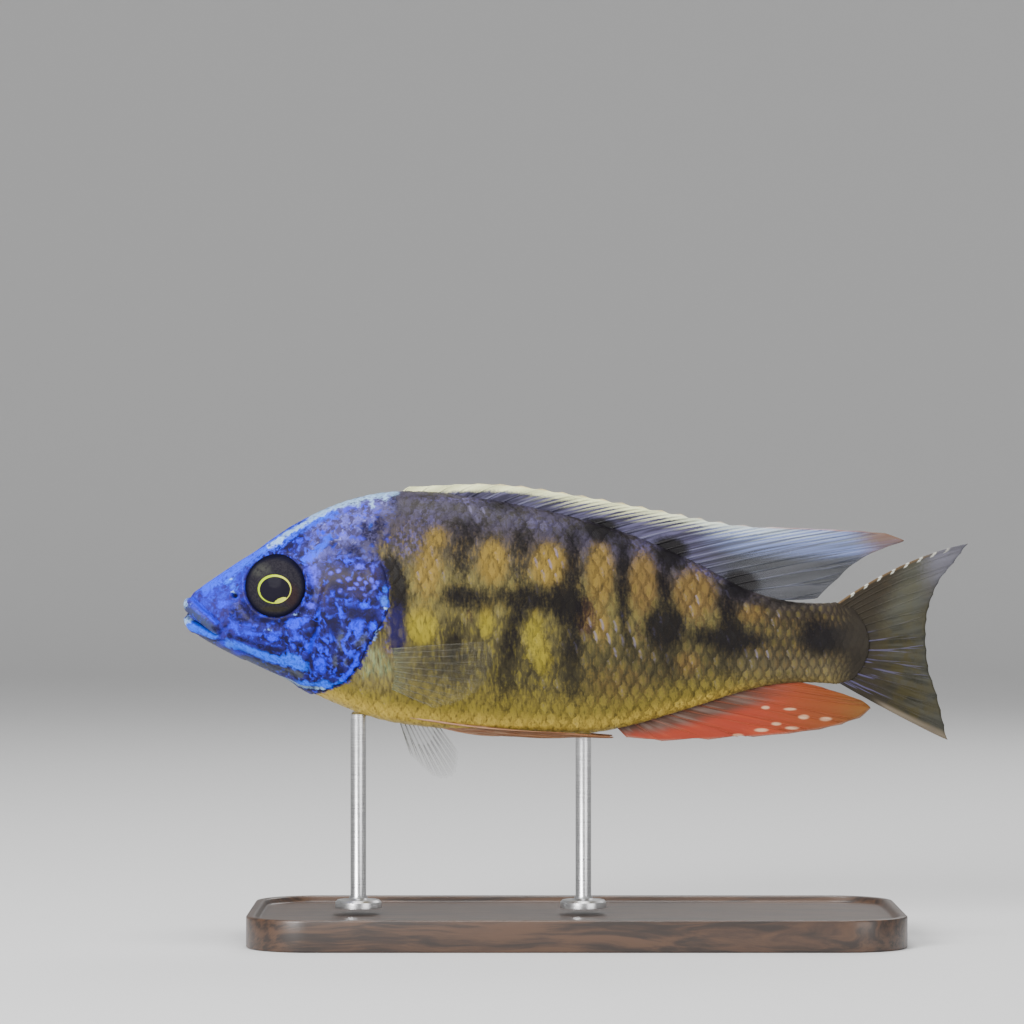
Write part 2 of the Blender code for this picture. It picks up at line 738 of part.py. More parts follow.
def pectoral_fin(name, side, tip_x, tip_z, splay, parts, hull):
    """Make one pectoral fin.

    splay is how far each ray stands out from the flank for every millimetre of its length.
    """
    rays = []
    for number in range(PECTORAL_RAYS):
        share = number / (PECTORAL_RAYS - 1)
        x = PECTORAL_ROOT_TOP[0] + (PECTORAL_ROOT_LOW[0] - PECTORAL_ROOT_TOP[0]) * share
        z = PECTORAL_ROOT_TOP[1] + (PECTORAL_ROOT_LOW[1] - PECTORAL_ROOT_TOP[1]) * share
        root = Vector((x, side * (flank(x, z) - FIN_SINK), z))
        tip = Vector((smooth(tip_x, number), 0, smooth(tip_z, number)))
        reach = math.hypot(tip.x - x, tip.z - z)
        tip.y = side * (flank(*PECTORAL_ROOT_TOP) + smooth(splay, number) * reach)
        outward = Vector((0, side, 0))
        rays.append(ray_line(root, tip, RAY_STEPS, bow=PECTORAL_BOW, aside=outward))
    middle = rays[PECTORAL_RAYS // 2]
    along = middle[-1] - middle[0]
    wide = rays[-1][-1] - rays[0][-1]
    across = along.cross(wide).normalized() * side
    fin = fin_sheet(name, rays, across, parts, thin=PAIRED_FIN_THINNESS)
    carve(fin, hull)
    return fin


def pelvic_fin(name, side, parts, hull):
    """Make one pelvic fin, folded back under the belly."""
    rays = []
    outer = Vector(PELVIC_ROOT_OUTER)
    inner = Vector(PELVIC_ROOT_INNER)
    for number in range(PELVIC_RAYS):
        root = between(outer, inner, number / (PELVIC_RAYS - 1))
        tip = Vector((
            smooth(PELVIC_TIP_X, number),
            smooth(PELVIC_TIP_Y, number),
            smooth(PELVIC_TIP_Z, number),
        ))
        line = ray_line(root, tip, LONG_RAY_STEPS, bow=PELVIC_BOW)
        rays.append([Vector((spot.x, spot.y * side, spot.z)) for spot in line])
    across = Vector((0, PELVIC_FACING.y * side, PELVIC_FACING.z))
    fin = fin_sheet(name, rays, across, parts, thin=PAIRED_FIN_THINNESS)
    carve(fin, hull)
    return fin


def stand_base(parts):
    """Make the flat base with round corners and a softened edge."""
    bpy.ops.mesh.primitive_cube_add(size=1.0, location=(0, 0, 0))
    piece = bpy.context.object
    piece.name = "stand_base"
    sketch = bmesh.new()
    sketch.from_mesh(piece.data)
    size = Vector((BASE_LENGTH, BASE_WIDTH, BASE_HEIGHT)) * MM
    bmesh.ops.scale(sketch, vec=size, verts=sketch.verts)
    bmesh.ops.translate(sketch, vec=(0, 0, size.z / 2), verts=sketch.verts)
    upright = [edge for edge in sketch.edges if abs(edge.verts[0].co.z - edge.verts[1].co.z) > MM]
    bmesh.ops.bevel(
        sketch, geom=upright, offset=BASE_CORNER * MM, segments=CORNER_SEGMENTS, profile=0.5,
        affect="EDGES",
    )
    level = size.z - MERGE_DISTANCE
    top = [edge for edge in sketch.edges if all(vert.co.z > level for vert in edge.verts)]
    bmesh.ops.bevel(
        sketch, geom=top, offset=BASE_EDGE * MM, segments=EDGE_SEGMENTS, profile=0.5,
        affect="EDGES",
    )
    sketch.to_mesh(piece.data)
    sketch.free()
    for owner in list(piece.users_collection):
        owner.objects.unlink(piece)
    parts.objects.link(piece)
    return piece


def stand_rod(name, x, parts, hull):
    """Make a rod with a round foot, from the base up to the belly."""
    foot = BASE_HEIGHT + GAP
    top = smooth(BELLY_LINE, x) + ROD_TOP_MARGIN
    flange_top = foot + FLANGE_HEIGHT
    profile = [
        (0.0, top), (ROD_RADIUS, top), (ROD_RADIUS, flange_top),
        (FLANGE_RADIUS - FLANGE_EDGE, flange_top), (FLANGE_RADIUS, flange_top - FLANGE_EDGE),
        (FLANGE_RADIUS, foot), (0.0, foot),
    ]
    mesh = bpy.data.meshes.new(name)
    points = [(radius * MM, 0, z * MM) for radius, z in profile]
    mesh.from_pydata(points, [(step, step + 1) for step in range(len(points) - 1)], [])
    piece = link(name, mesh, parts)
    turn = piece.modifiers.new("turn", "SCREW")
    turn.steps = ROD_SEGMENTS
    turn.render_steps = ROD_SEGMENTS
    turn.use_merge_vertices = True
    turn.merge_threshold = MERGE_DISTANCE
    apply_modifiers(piece)
    for vert in piece.data.vertices:
        vert.co += place(x, 0, 0)
    carve(piece, hull)
    return piece


def paint(piece, name, colour, roughness, metallic=0.0):
    """Give a piece a material."""
    material = bpy.data.materials.get(name)
    if material is None:
        material = bpy.data.materials.new(name)
        material.use_nodes = True
        shader = material.node_tree.nodes["Principled BSDF"]
        shader.inputs["Base Color"].default_value = (*colour, 1.0)
        shader.inputs["Roughness"].default_value = roughness
        shader.inputs["Metallic"].default_value = metallic
        material.diffuse_color = (*colour, 1.0)
    piece.data.materials.clear()
    piece.data.materials.append(material)


def paint_all(nodes):
    """Give every node its colour."""
    finishes = {
        "blue_head": ((0.05, 0.09, 0.62), 0.35), "scaled_flank": ((0.28, 0.21, 0.07), 0.4),
        "eye": ((0.02, 0.015, 0.01), 0.08), "dorsal": ((0.30, 0.32, 0.50), 0.45),
        "anal": ((0.68, 0.10, 0.03), 0.45), "caudal": ((0.20, 0.20, 0.17), 0.45),
        "pectoral": ((0.55, 0.55, 0.50), 0.35), "pelvic": ((0.60, 0.20, 0.12), 0.45),
        "wood": ((0.05, 0.03, 0.02), 0.4), "steel": ((0.60, 0.60, 0.60), 0.3),
    }
    uses = {
        "head": "blue_head", "lower_jaw": "blue_head", "gill_cover_left": "blue_head",
        "gill_cover_right": "blue_head", "trunk": "scaled_flank", "tail_stalk": "scaled_flank",
        "eye_left": "eye", "eye_right": "eye", "dorsal_fin": "dorsal", "anal_fin": "anal",
        "caudal_fin": "caudal", "pectoral_fin_left": "pectoral", "pectoral_fin_right": "pectoral",
        "pelvic_fin_left": "pelvic", "pelvic_fin_right": "pelvic", "stand_base": "wood",
        "stand_rod_front": "steel", "stand_rod_rear": "steel",
    }
    for name, piece in nodes.items():
        use = uses[name]
        colour, roughness = finishes[use]
        paint(piece, use, colour, roughness, 1.0 if use == "steel" else 0.0)


def main():
    """Build the whole model."""
    for piece in list(bpy.data.objects):
        bpy.data.objects.remove(piece)
    parts = bpy.data.collections.new("reef_cichlid")
    tools = bpy.data.collections.new("tools")
    bpy.context.scene.collection.children.link(parts)
    bpy.context.scene.collection.children.link(tools)

    nodes = flesh(parts, tools)
    nodes.update(eyes(parts))
    hull = body_loft("hull", tools, lambda x: GAP)
    nodes["dorsal_fin"] = dorsal_fin(parts, hull)
    nodes["anal_fin"] = anal_fin(parts, hull)
    nodes["caudal_fin"] = caudal_fin(parts, hull)
    nodes["pectoral_fin_left"] = pectoral_fin(
        "pectoral_fin_left", -1, LEFT_PECTORAL_TIP_X, LEFT_PECTORAL_TIP_Z,
        LEFT_PECTORAL_SPLAY, parts, hull,
    )
    nodes["pectoral_fin_right"] = pectoral_fin(
        "pectoral_fin_right", 1, RIGHT_PECTORAL_TIP_X, RIGHT_PECTORAL_TIP_Z,
        RIGHT_PECTORAL_SPLAY, parts, hull,
    )
    nodes["pelvic_fin_left"] = pelvic_fin("pelvic_fin_left", -1, parts, hull)
    nodes["pelvic_fin_right"] = pelvic_fin("pelvic_fin_right", 1, parts, hull)
    nodes["stand_base"] = stand_base(parts)
    nodes["stand_rod_front"] = stand_rod("stand_rod_front", FRONT_ROD, parts, hull)
    nodes["stand_rod_rear"] = stand_rod("stand_rod_rear", REAR_ROD, parts, hull)
    bpy.data.objects.remove(hull)
    for piece in nodes.values():
        keep_largest(piece)
    paint_all(nodes)

    whole = bpy.data.objects.new("reef_cichlid_model", None)
    parts.objects.link(whole)
    for piece in nodes.values():
        piece.parent = whole
        piece.data.shade_smooth()
        piece.data.set_sharp_from_angle(angle=math.radians(SHARP_ANGLE))


main()
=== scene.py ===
"""The looks of a life-size taiwan reef cichlid on a plain display stand.

Named sizes are millimetres: along the fish from the tip of its snout, across from its middle
plane, and up from the underside of the base. Colours are linear red, green and blue.
"""

import math

import bpy
import numpy as np
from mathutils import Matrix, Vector
from mathutils.kdtree import KDTree


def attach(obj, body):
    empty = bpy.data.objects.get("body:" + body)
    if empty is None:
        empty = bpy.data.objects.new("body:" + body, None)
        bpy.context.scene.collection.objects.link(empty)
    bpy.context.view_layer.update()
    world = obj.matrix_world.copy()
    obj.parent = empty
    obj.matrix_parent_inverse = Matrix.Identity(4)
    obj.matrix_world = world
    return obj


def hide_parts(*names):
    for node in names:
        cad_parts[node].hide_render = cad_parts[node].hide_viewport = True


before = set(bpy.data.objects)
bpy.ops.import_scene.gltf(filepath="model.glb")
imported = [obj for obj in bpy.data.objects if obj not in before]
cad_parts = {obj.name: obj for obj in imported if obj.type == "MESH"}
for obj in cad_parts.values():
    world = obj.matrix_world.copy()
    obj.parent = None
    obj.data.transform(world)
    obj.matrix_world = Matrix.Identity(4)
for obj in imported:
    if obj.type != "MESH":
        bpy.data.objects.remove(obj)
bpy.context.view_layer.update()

MM = 0.001
TOTAL_LENGTH = 150.0
SKIN_LENGTH = 131.0

# The body's outlines as (distance behind the snout, height), and its half widths.
BACK_LINE = [
    (0.0, 64.9), (1.7, 66.1), (5.8, 69.0), (12.7, 73.6), (22.9, 80.3), (33.1, 84.4), (43.0, 85.7),
    (54.8, 84.6), (70.1, 81.8), (85.4, 77.4), (98.8, 71.6), (107.0, 67.2), (114.5, 64.9),
    (121.0, 64.3), (127.0, 64.3), (131.0, 63.4),
]
BELLY_LINE = [
    (0.0, 60.4), (3.4, 57.5), (11.0, 53.4), (21.2, 48.6), (29.7, 44.6), (37.7, 41.8),
    (45.0, 40.6), (54.0, 39.8), (66.0, 39.2), (77.0, 39.2), (85.0, 40.6), (97.1, 44.1), (108.0, 47.5),
    (116.0, 48.8), (127.0, 48.7), (131.0, 49.4),
]
HALF_WIDTH = [
    (0.0, 2.6), (4.0, 4.1), (10.0, 6.3), (18.0, 8.4), (26.0, 9.9), (36.0, 11.0), (47.0, 11.3),
    (62.0, 10.8), (76.0, 9.5), (90.0, 7.6), (104.0, 5.5), (115.0, 3.9), (122.0, 2.6), (127.0, 1.2),
    (131.0, 0.3),
]
WIDEST_SHARE = [(0.0, 0.45), (20.0, 0.42), (45.0, 0.54), (80.0, 0.55), (127.0, 0.5)]
UPPER_ROUNDNESS = [(0.0, 2.1), (18.0, 2.3), (34.0, 2.0), (50.0, 1.85), (127.0, 1.9)]
LOWER_ROUNDNESS = [(0.0, 2.1), (25.0, 2.0), (60.0, 2.15), (127.0, 1.95)]
NOSE_START = 0.6
NOSE_ROUND = 1.6
NOSE_HEIGHT = 62.6

# How finely the skin is meshed.
NOSE_STATIONS = 12
HEAD_STEP = 0.22
HEAD_END = 41.0
TRUNK_STEP = 1.1
SKIN_SHARES = 175
TABLE_STEP = 0.25
TABLE_SHARES = 241
HALF_TURNS = 361

# The head's features as side-view lines and places. A rim or furrow is its radius and how far it
# stands up or in, and the mouth's depth is given in front and behind.
MOUTH_LINE = [(-3.0, 63.2), (0.3, 62.6), (1.6, 61.2), (3.9, 59.7), (6.9, 57.9)]
UPPER_LIP = [(0.9, 64.1), (2.5, 62.9), (4.6, 61.0), (6.6, 59.1)]
LOWER_LIP = [(0.8, 60.7), (2.0, 59.8), (4.0, 58.6), (6.4, 57.5)]
LIP_FOLD = [(0.2, 65.8), (2.1, 64.9), (4.2, 62.9), (5.8, 61.8), (7.0, 60.3), (7.4, 58.6), (7.0, 57.2)]
CHIN_FOLD = [(1.9, 58.8), (3.9, 58.0), (6.1, 57.0), (8.8, 56.9)]
GILL_EDGE = [
    (35.4, 73.9), (37.0, 73.6), (38.1, 72.6), (38.9, 70.8), (39.8, 67.0), (39.6, 62.8), (37.9, 59.4),
    (35.7, 56.3), (34.2, 52.6), (31.8, 49.6), (28.0, 47.8), (24.0, 46.4), (19.0, 42.0),
]
CHEEK_EDGE = [
    (28.4, 69.4), (27.0, 66.0), (26.5, 62.5), (25.9, 59.4), (24.9, 55.8), (24.2, 52.4), (23.4, 50.6),
]
JAW_FOLD = [(8.8, 56.3), (12.4, 54.4), (16.0, 52.6), (20.0, 51.0), (23.4, 50.2)]
THROAT_FOLD = [(11.0, 53.6), (14.6, 51.6), (18.6, 49.8), (23.0, 48.4), (28.0, 48.2)]
# Each lip as its line, its radius and height in front, and how much less they are behind.
LIPS = [(UPPER_LIP, 1.4, 0.4, 0.85, 0.35), (LOWER_LIP, 1.5, 0.9, 0.85, 0.4)]
# Each fold as its line, depth, half width, and the share of its length over which it deepens.
FOLDS = [
    (LIP_FOLD, 0.34, 0.3, 0.08), (CHIN_FOLD, 0.28, 0.3, 0.08), (JAW_FOLD, 0.22, 0.45, 0.2),
    (THROAT_FOLD, 0.2, 0.35, 0.08), (CHEEK_EDGE, 0.3, 0.3, 0.75),
]
EYE_CENTRE = (18.0, 67.5)
EYE_RADIUS = 6.3
EYE_DEPTH = 2.9
EYE_BULGE = 1.6
EYE_TILT = 0.7
EYE_OPENING = 5.7
PUPIL_RISE = 0.22
EYE_RIM = (6.25, 0.38)
EYE_FURROW = (7.6, 0.14)
SOCKET_DEPTH = 2.6
NOSTRIL = (10.1, 65.8)
NOSTRIL_RIM = (0.85, 0.16)
NOSTRIL_DEPTH = 0.85
PORE_RIM = (0.42, 0.07)
PORE_DEPTH = 0.16
MOUTH_DEPTH = (2.2, 0.6)
CHEEK_LIFT = 0.22
COVER_LIFT = 0.42
GILL_GROOVE = 0.3
PORES = [
    (9.3, 62.0), (11.3, 60.4), (13.8, 59.4), (17.0, 59.0), (20.2, 59.4), (23.2, 61.2), (25.1, 64.5),
    (22.9, 56.2), (21.6, 53.6), (18.4, 54.2), (14.9, 55.6), (11.4, 57.4), (13.0, 71.4), (16.6, 75.4),
]

# The scales: how deep the coat is, and the rows' spacing up and along the fish.
COAT_DEPTH = 0.32
BARE_DEPTH = 0.14
MID_LINE = [(14.0, 66.8), (38.0, 66.0), (70.0, 62.0), (100.0, 58.0), (115.0, 56.6), (127.0, 56.5)]
ROW_SPACING = [
    (12, 1.2), (24, 1.6), (34, 2.0), (44, 2.4), (60, 2.55), (80, 2.5), (100, 2.3), (115, 1.9), (127, 1.5),
]
COLUMN_SPACING = [
    (12, 1.2), (24, 1.5), (34, 1.9), (44, 2.3), (60, 2.5), (100, 2.35), (115, 1.95), (127, 1.4),
]
FIRST_ROW = -15
LAST_ROW = 15
LAST_COLUMN = 130.6
PLATE_LENGTH = 1.85
PLATE_WIDTH = 0.98
# One scale, as shares: its steps from root to free edge, its rows across, and its shell.
SCALE_STEPS = [0.0, 0.38, 0.68, 0.88, 1.0]
SCALE_ROWS = 6
SCALE_SHELL = 0.20
SIZE_CHANCE = 0.06
TURN_CHANCE = 6.0
SCALE_LIFT = 0.015
PATCH = 0.003

# Fins, as in the model: distances are read against the number of the ray.
FIN_SINK = 1.6
COLUMNS_PER_GAP = 8
MEMBRANE_ROWS = 30
NOTCH_PEAK = 0.85
SPINE_POINTS = 22
# A soft ray's stretches: from and to a share of its length, points, and which branches they are.
RAY_STAGES = [
    (0.0, 0.52, 13, [(0, 0)]), (0.42, 0.78, 10, [(-1, 0), (1, 0)]),
    (0.68, 0.97, 9, [(-1, -1), (-1, 1), (1, -1), (1, 1)]),
]
FIRST_SPREAD = 0.20
SECOND_SPREAD = 0.10
# How many of the fins' tips below lie on the upper and the lower outline.
DORSAL_EDGE = 8
ANAL_EDGE = 6
DORSAL_SPINES = 17
DORSAL_RAYS = 27
DORSAL_FOOT = [(0, 41.2), (16, 88.2), (17, 90.4), (26, 107.4)]
DORSAL_TIP_X = [
    (0, 43.4), (4, 60.6), (8, 76.4), (12, 91.5), (16, 107.2), (19, 124.6), (21, 134.2), (22, 137.8),
    (23, 133.8), (24, 129.0), (25, 125.2), (26, 121.2),
]
DORSAL_TIP_Z = [
    (0, 86.4), (4, 86.9), (8, 84.7), (12, 81.9), (16, 79.1), (19, 78.2), (21, 77.5), (22, 76.1),
    (23, 74.6), (24, 72.2), (25, 68.9), (26, 65.1),
]
DORSAL_BOW = [(0, 0.4), (20, 0.4), (23, 0.3), (26, -0.4)]
ANAL_SPINES = 3
ANAL_RAYS = 12
ANAL_FOOT = [(0, 82.2), (3, 90.0), (11, 112.7)]
ANAL_TIP_X = [
    (0, 84.8), (1, 91.5), (3, 109.0), (5, 121.6), (7, 129.3), (8, 131.4), (9, 129.6), (11, 122.0),
]
ANAL_TIP_Z = [
    (0, 38.5), (1, 37.8), (3, 38.6), (5, 40.0), (7, 42.2), (8, 44.1), (9, 45.6), (11, 48.1),
]
CAUDAL_RAYS = 16
CAUDAL_FOOT_Z = [(0, 63.3), (15, 49.8)]
CAUDAL_FOOT_X = 124.2
CAUDAL_TIP_X = [(0, 150.0), (2, 147.3), (4, 144.3), (7, 142.1), (10, 142.4), (12, 144.1), (15, 146.1)]
CAUDAL_TIP_Z = [(0, 75.5), (2, 71.9), (4, 68.0), (7, 61.0), (10, 52.2), (12, 46.6), (15, 38.0)]
CAUDAL_BOW = [(0, 1.7), (5, 0.3), (15, -0.3)]
PECTORAL_RAYS = 10
PECTORAL_ROOT_TOP = (37.6, 55.5)
PECTORAL_ROOT_LOW = (38.9, 48.6)
PECTORAL_BOW = 0.5
LEFT_PECTORAL_TIP_X = [(0, 58.0), (2, 59.6), (5, 57.8), (7, 54.0), (9, 48.4)]
LEFT_PECTORAL_TIP_Z = [(0, 57.4), (2, 54.8), (5, 49.6), (7, 46.4), (9, 44.6)]
LEFT_PECTORAL_SPLAY = [(0, 0.46), (9, 0.40)]
RIGHT_PECTORAL_TIP_X = [(0, 52.4), (3, 51.9), (5, 50.2), (7, 47.6), (9, 43.2)]
RIGHT_PECTORAL_TIP_Z = [(0, 34.2), (3, 30.6), (5, 29.5), (7, 30.2), (9, 34.4)]
RIGHT_PECTORAL_SPLAY = [(0, 0.60), (9, 0.16)]
PELVIC_RAYS = 6
PELVIC_ROOT_OUTER = (41.4, 3.9, 43.0)
PELVIC_ROOT_INNER = (45.0, 1.7, 42.0)
PELVIC_TIP_X = [(0, 69.0), (1, 82.0), (2, 79.0), (3, 72.0), (5, 59.0)]
PELVIC_TIP_Y = [(0, 4.9), (1, 4.1), (2, 3.3), (3, 2.3), (5, 0.9)]
PELVIC_TIP_Z = [(0, 39.8), (1, 38.8), (2, 38.6), (3, 38.5), (5, 38.8)]
PELVIC_BOW = -0.6

# The stand.
BASE_LENGTH = 124.0
BASE_WIDTH = 58.0
BASE_HEIGHT = 6.0
BASE_CORNER = 12.0
BASE_BORDER = 1.6
BASE_STEP = 0.5
RIM_DROP = 1.2
BASE_SOFTENING = 0.35
ROD_RADIUS = 1.5
FLANGE_RADIUS = 4.5
FLANGE_HEIGHT = 1.6
FRONT_ROD = 33.5
REAR_ROD = 76.5

# The studio floor, in metres: flat, then curving up into a low wall.
FLOOR_RADIUS = 1.5
CURVE_RADIUS = 0.8
CURVE_STEPS = 12
WALL_HEIGHT = 0.6

# The photo: its size, where the snout's tip lies in it, and how much one pixel shows.
PHOTO_SIZE = 1024
SNOUT_COLUMN = 183
LEVEL_ROW = 740
LEVEL_HEIGHT = 38.0
MM_PER_PIXEL = 0.19108
CAMERA_DISTANCE = 900.0
SENSOR = 36.0

# Pigment on the flanks: (behind the snout, height, half length, half height, lean, strength).
DARK_SPOTS = [
    (41.4, 66.0, 1.9, 5.4, 0, 1.0), (39.8, 71.2, 2.2, 2.5, 0, 0.95), (54.6, 78.2, 4.0, 2.8, 0, 0.65),
    (60.3, 82.8, 4.4, 1.5, 8, 0.6), (53.0, 72.4, 1.9, 3.8, -6, 0.6), (49.0, 82.6, 4.0, 1.6, 0, 0.25),
    (52.4, 65.8, 3.8, 2.4, 0, 0.8), (56.0, 64.6, 2.6, 2.3, 0, 0.6),
    (60.2, 65.4, 3.2, 2.2, 0, 0.6), (51.6, 57.6, 2.6, 5.0, 4, 0.6), (51.8, 51.6, 2.2, 4.0, 0, 0.5),
    (64.8, 76.4, 2.2, 3.0, 0, 0.6), (64.3, 71.0, 1.8, 3.4, 0, 0.5), (66.4, 65.4, 4.2, 2.9, 0, 0.85),
    (63.8, 61.8, 2.0, 2.2, 0, 0.7), (62.4, 58.0, 1.9, 4.0, 0, 0.65), (61.8, 51.4, 2.1, 6.0, 3, 0.65),
    (73.2, 64.4, 3.8, 4.4, 0, 1.0), (74.4, 75.7, 1.6, 3.4, -6, 0.75), (74.0, 70.2, 1.8, 2.6, 0, 0.65),
    (74.2, 56.4, 2.4, 5.4, 0, 0.75), (74.2, 49.6, 2.3, 4.6, -8, 0.65), (79.6, 77.8, 3.6, 2.1, 14, 1.0),
    (84.0, 73.4, 1.6, 4.0, 0, 0.8), (83.8, 65.0, 1.5, 6.0, -2, 0.8), (85.0, 56.6, 1.3, 4.8, -14, 0.5),
    (93.0, 73.3, 3.0, 2.2, 24, 1.0), (91.6, 67.6, 1.7, 4.0, -4, 0.8), (92.7, 59.8, 3.4, 4.2, 0, 1.0),
    (89.8, 59.4, 2.2, 4.0, 0, 0.8), (92.4, 52.6, 1.7, 3.2, -24, 0.65), (88.8, 52.2, 1.4, 3.4, -24, 0.4),
    (106.0, 67.0, 3.0, 2.1, 22, 1.0), (103.8, 62.9, 2.0, 3.6, -6, 0.8), (104.2, 57.4, 4.2, 3.5, 0, 1.0),
    (98.8, 58.0, 2.6, 2.1, 0, 0.7), (109.6, 57.3, 2.6, 1.9, 0, 0.6), (103.4, 52.0, 2.0, 2.8, -20, 0.4),
    (122.2, 57.4, 5.0, 3.3, 0, 1.0), (119.4, 61.2, 2.4, 2.4, 0, 0.35), (114.5, 64.4, 6.0, 1.2, 0, 0.6),
    (127.0, 57.2, 2.6, 2.4, 0, 0.8),
]
GOLD_SPOTS = [
    (45.7, 59.9, 2.7, 3.4, 0, 1.0), (46.8, 70.4, 2.8, 5.4, 0, 0.75), (48.7, 77.0, 2.1, 2.1, 0, 0.6),
    (59.1, 72.1, 2.7, 4.0, 0, 1.0), (57.9, 61.0, 1.5, 3.4, 0, 0.75), (69.8, 71.4, 3.4, 4.3, 0, 0.9),
    (66.9, 58.4, 2.1, 5.2, 0, 0.65), (68.8, 53.4, 1.6, 3.4, 0, 0.65), (79.5, 69.9, 2.4, 6.1, 0, 1.0),
    (79.6, 59.9, 1.7, 3.4, 0, 0.7), (87.6, 68.0, 2.7, 6.0, 0, 0.95), (97.4, 65.9, 4.0, 4.7, 0, 1.0),
    (108.4, 62.2, 2.9, 2.0, 0, 0.65), (96.1, 52.8, 2.6, 2.6, 0, 0.65), (83.0, 49.0, 8.0, 4.0, 0, 0.4),
    (114.0, 60.8, 2.6, 1.7, 0, 0.2),
]
RUST_SPOTS = [
    (76.6, 61.8, 2.2, 4.2, 0, 0.9), (40.6, 55.6, 2.2, 1.4, 0, 0.7), (86.6, 59.0, 1.2, 2.6, 0, 0.5),
    (54.8, 62.0, 1.0, 2.0, 0, 0.5), (98.6, 60.2, 2.4, 1.6, 0, 0.4),
]
LILAC_SPOTS = [
    (43.0, 76.0, 2.8, 3.6, 0, 0.9), (46.6, 80.4, 3.6, 2.6, 6, 0.6), (56.8, 81.4, 2.6, 2.0, 0, 0.3),
    (67.6, 79.4, 5.0, 1.6, 10, 0.5), (87.6, 75.2, 2.4, 1.6, 0, 0.6), (99.4, 70.6, 3.4, 1.2, 26, 0.7),
    (52.0, 83.9, 7.0, 0.6, 2, 1.0), (39.3, 56.2, 1.3, 1.7, 0, 1.0),
]
PALE_SPECKS = [
    (83.0, 57.6, 5.6, 4.4, 0, 0.75), (109.6, 54.8, 4.0, 2.2, 0, 0.5), (70.6, 72.4, 3.4, 2.6, 0, 0.6),
    (45.4, 73.6, 3.0, 3.4, 0, 0.6), (92.0, 52.6, 3.0, 3.0, 0, 0.5), (97.5, 67.0, 5.0, 5.0, 0, 0.35),
    (55.0, 80.0, 5.0, 3.0, 0, 0.5), (113.0, 61.0, 4.0, 2.0, 0, 0.35), (80.0, 66.0, 2.0, 8.0, 0, 0.3),
]
# Pigment on the head, with some painted highlight, in the same form, and bands that follow a line: (line,
# half width).
COBALT_SPOTS = [
    (7.8, 64.1, 1.3, 0.8, 0, 0.95), (5.1, 66.1, 1.4, 0.8, -20, 0.5), (6.9, 69.1, 0.8, 0.4, -35, 0.7),
    (9.9, 59.9, 1.3, 0.6, 0, 0.75), (13.0, 60.0, 1.5, 0.6, 0, 0.55), (13.7, 58.4, 1.3, 0.38, 5, 0.95),
    (17.4, 57.7, 1.3, 0.9, 0, 0.95), (21.6, 60.5, 1.8, 1.0, -15, 0.95), (23.8, 61.2, 0.8, 0.6, 0, 0.8),
    (22.5, 57.7, 0.9, 0.6, 0, 0.95), (21.6, 58.8, 0.5, 0.6, 0, 0.5), (21.4, 56.1, 0.45, 0.5, 0, 0.8),
    (24.4, 55.9, 0.75, 1.0, 0, 1.0), (26.4, 61.8, 0.38, 1.2, -8, 0.95), (26.7, 52.6, 1.15, 1.6, 0, 1.0),
    (26.6, 56.0, 0.6, 0.8, -20, 0.95), (27.9, 55.0, 0.35, 0.5, 0, 0.8), (27.3, 57.6, 0.5, 0.5, 0, 0.6),
    (28.6, 57.9, 0.3, 0.8, 0, 0.9), (29.4, 51.6, 0.35, 0.7, 20, 0.7), (33.9, 60.0, 0.95, 1.6, 0, 1.0),
    (33.7, 58.4, 0.45, 0.8, 0, 0.8), (36.6, 59.9, 0.95, 0.8, -45, 1.0), (32.4, 60.0, 0.45, 0.7, 0, 0.9),
    (32.3, 55.1, 0.7, 0.38, -10, 0.9), (34.9, 63.9, 1.15, 0.65, 5, 1.0),
    (30.6, 62.3, 0.45, 0.85, 0, 0.95), (29.0, 66.2, 0.5, 0.65, 20, 0.9),
    (28.0, 65.0, 0.35, 1.0, 0, 0.5), (32.0, 64.9, 1.0, 0.32, -10, 0.6),
    (31.7, 72.3, 0.7, 0.6, 0, 0.9), (26.7, 78.0, 0.9, 0.7, 0, 0.6), (22.5, 76.3, 0.8, 0.6, 0, 0.8),
    (24.1, 73.2, 1.0, 0.8, 0, 0.7), (14.2, 54.2, 0.9, 0.4, 10, 0.8), (18.0, 53.0, 1.1, 0.4, 10, 0.7),
    (22.8, 53.2, 1.0, 0.5, 0, 0.8),
]
COBALT_BANDS = [
    ([(1.9, 65.0), (3.4, 63.8), (5.2, 62.0), (6.7, 60.6)], 0.4),
    ([(26.3, 59.5), (25.4, 57.8), (24.4, 55.8)], 0.42),
    ([(31.0, 49.8), (32.3, 51.3), (33.1, 53.2), (33.8, 54.9)], 0.42),
    ([(32.2, 58.6), (31.4, 57.7), (30.7, 57.1), (31.1, 56.0), (31.6, 54.9)], 0.25),
    ([(30.4, 63.0), (29.6, 64.4)], 0.22), ([(9.0, 61.4), (10.4, 59.6), (11.0, 58.2)], 0.2),
]
AZURE_SPOTS = [
    (21.3, 53.4, 1.9, 1.1, 8, 1.0), (27.3, 48.9, 1.7, 0.9, 0, 1.0), (23.4, 49.1, 2.2, 0.6, 5, 0.95),
    (30.4, 49.4, 0.8, 0.5, -25, 0.9), (9.0, 68.6, 1.2, 0.55, -25, 0.8), (9.9, 67.3, 0.9, 0.8, 0, 0.5),
    (38.9, 67.0, 0.5, 0.7, 0, 0.9), (20.9, 77.8, 0.9, 0.5, -35, 0.8), (15.4, 74.4, 0.9, 0.4, -35, 0.8),
    (26.6, 80.6, 0.8, 0.4, -30, 0.8), (36.0, 78.8, 0.4, 0.8, 0, 0.7), (12.0, 72.0, 1.0, 0.5, -35, 0.5),
    (34.8, 64.0, 0.7, 0.35, 5, 0.6), (36.9, 60.2, 0.5, 0.4, 0, 0.5), (2.4, 59.7, 1.3, 0.55, 20, 0.9),
]
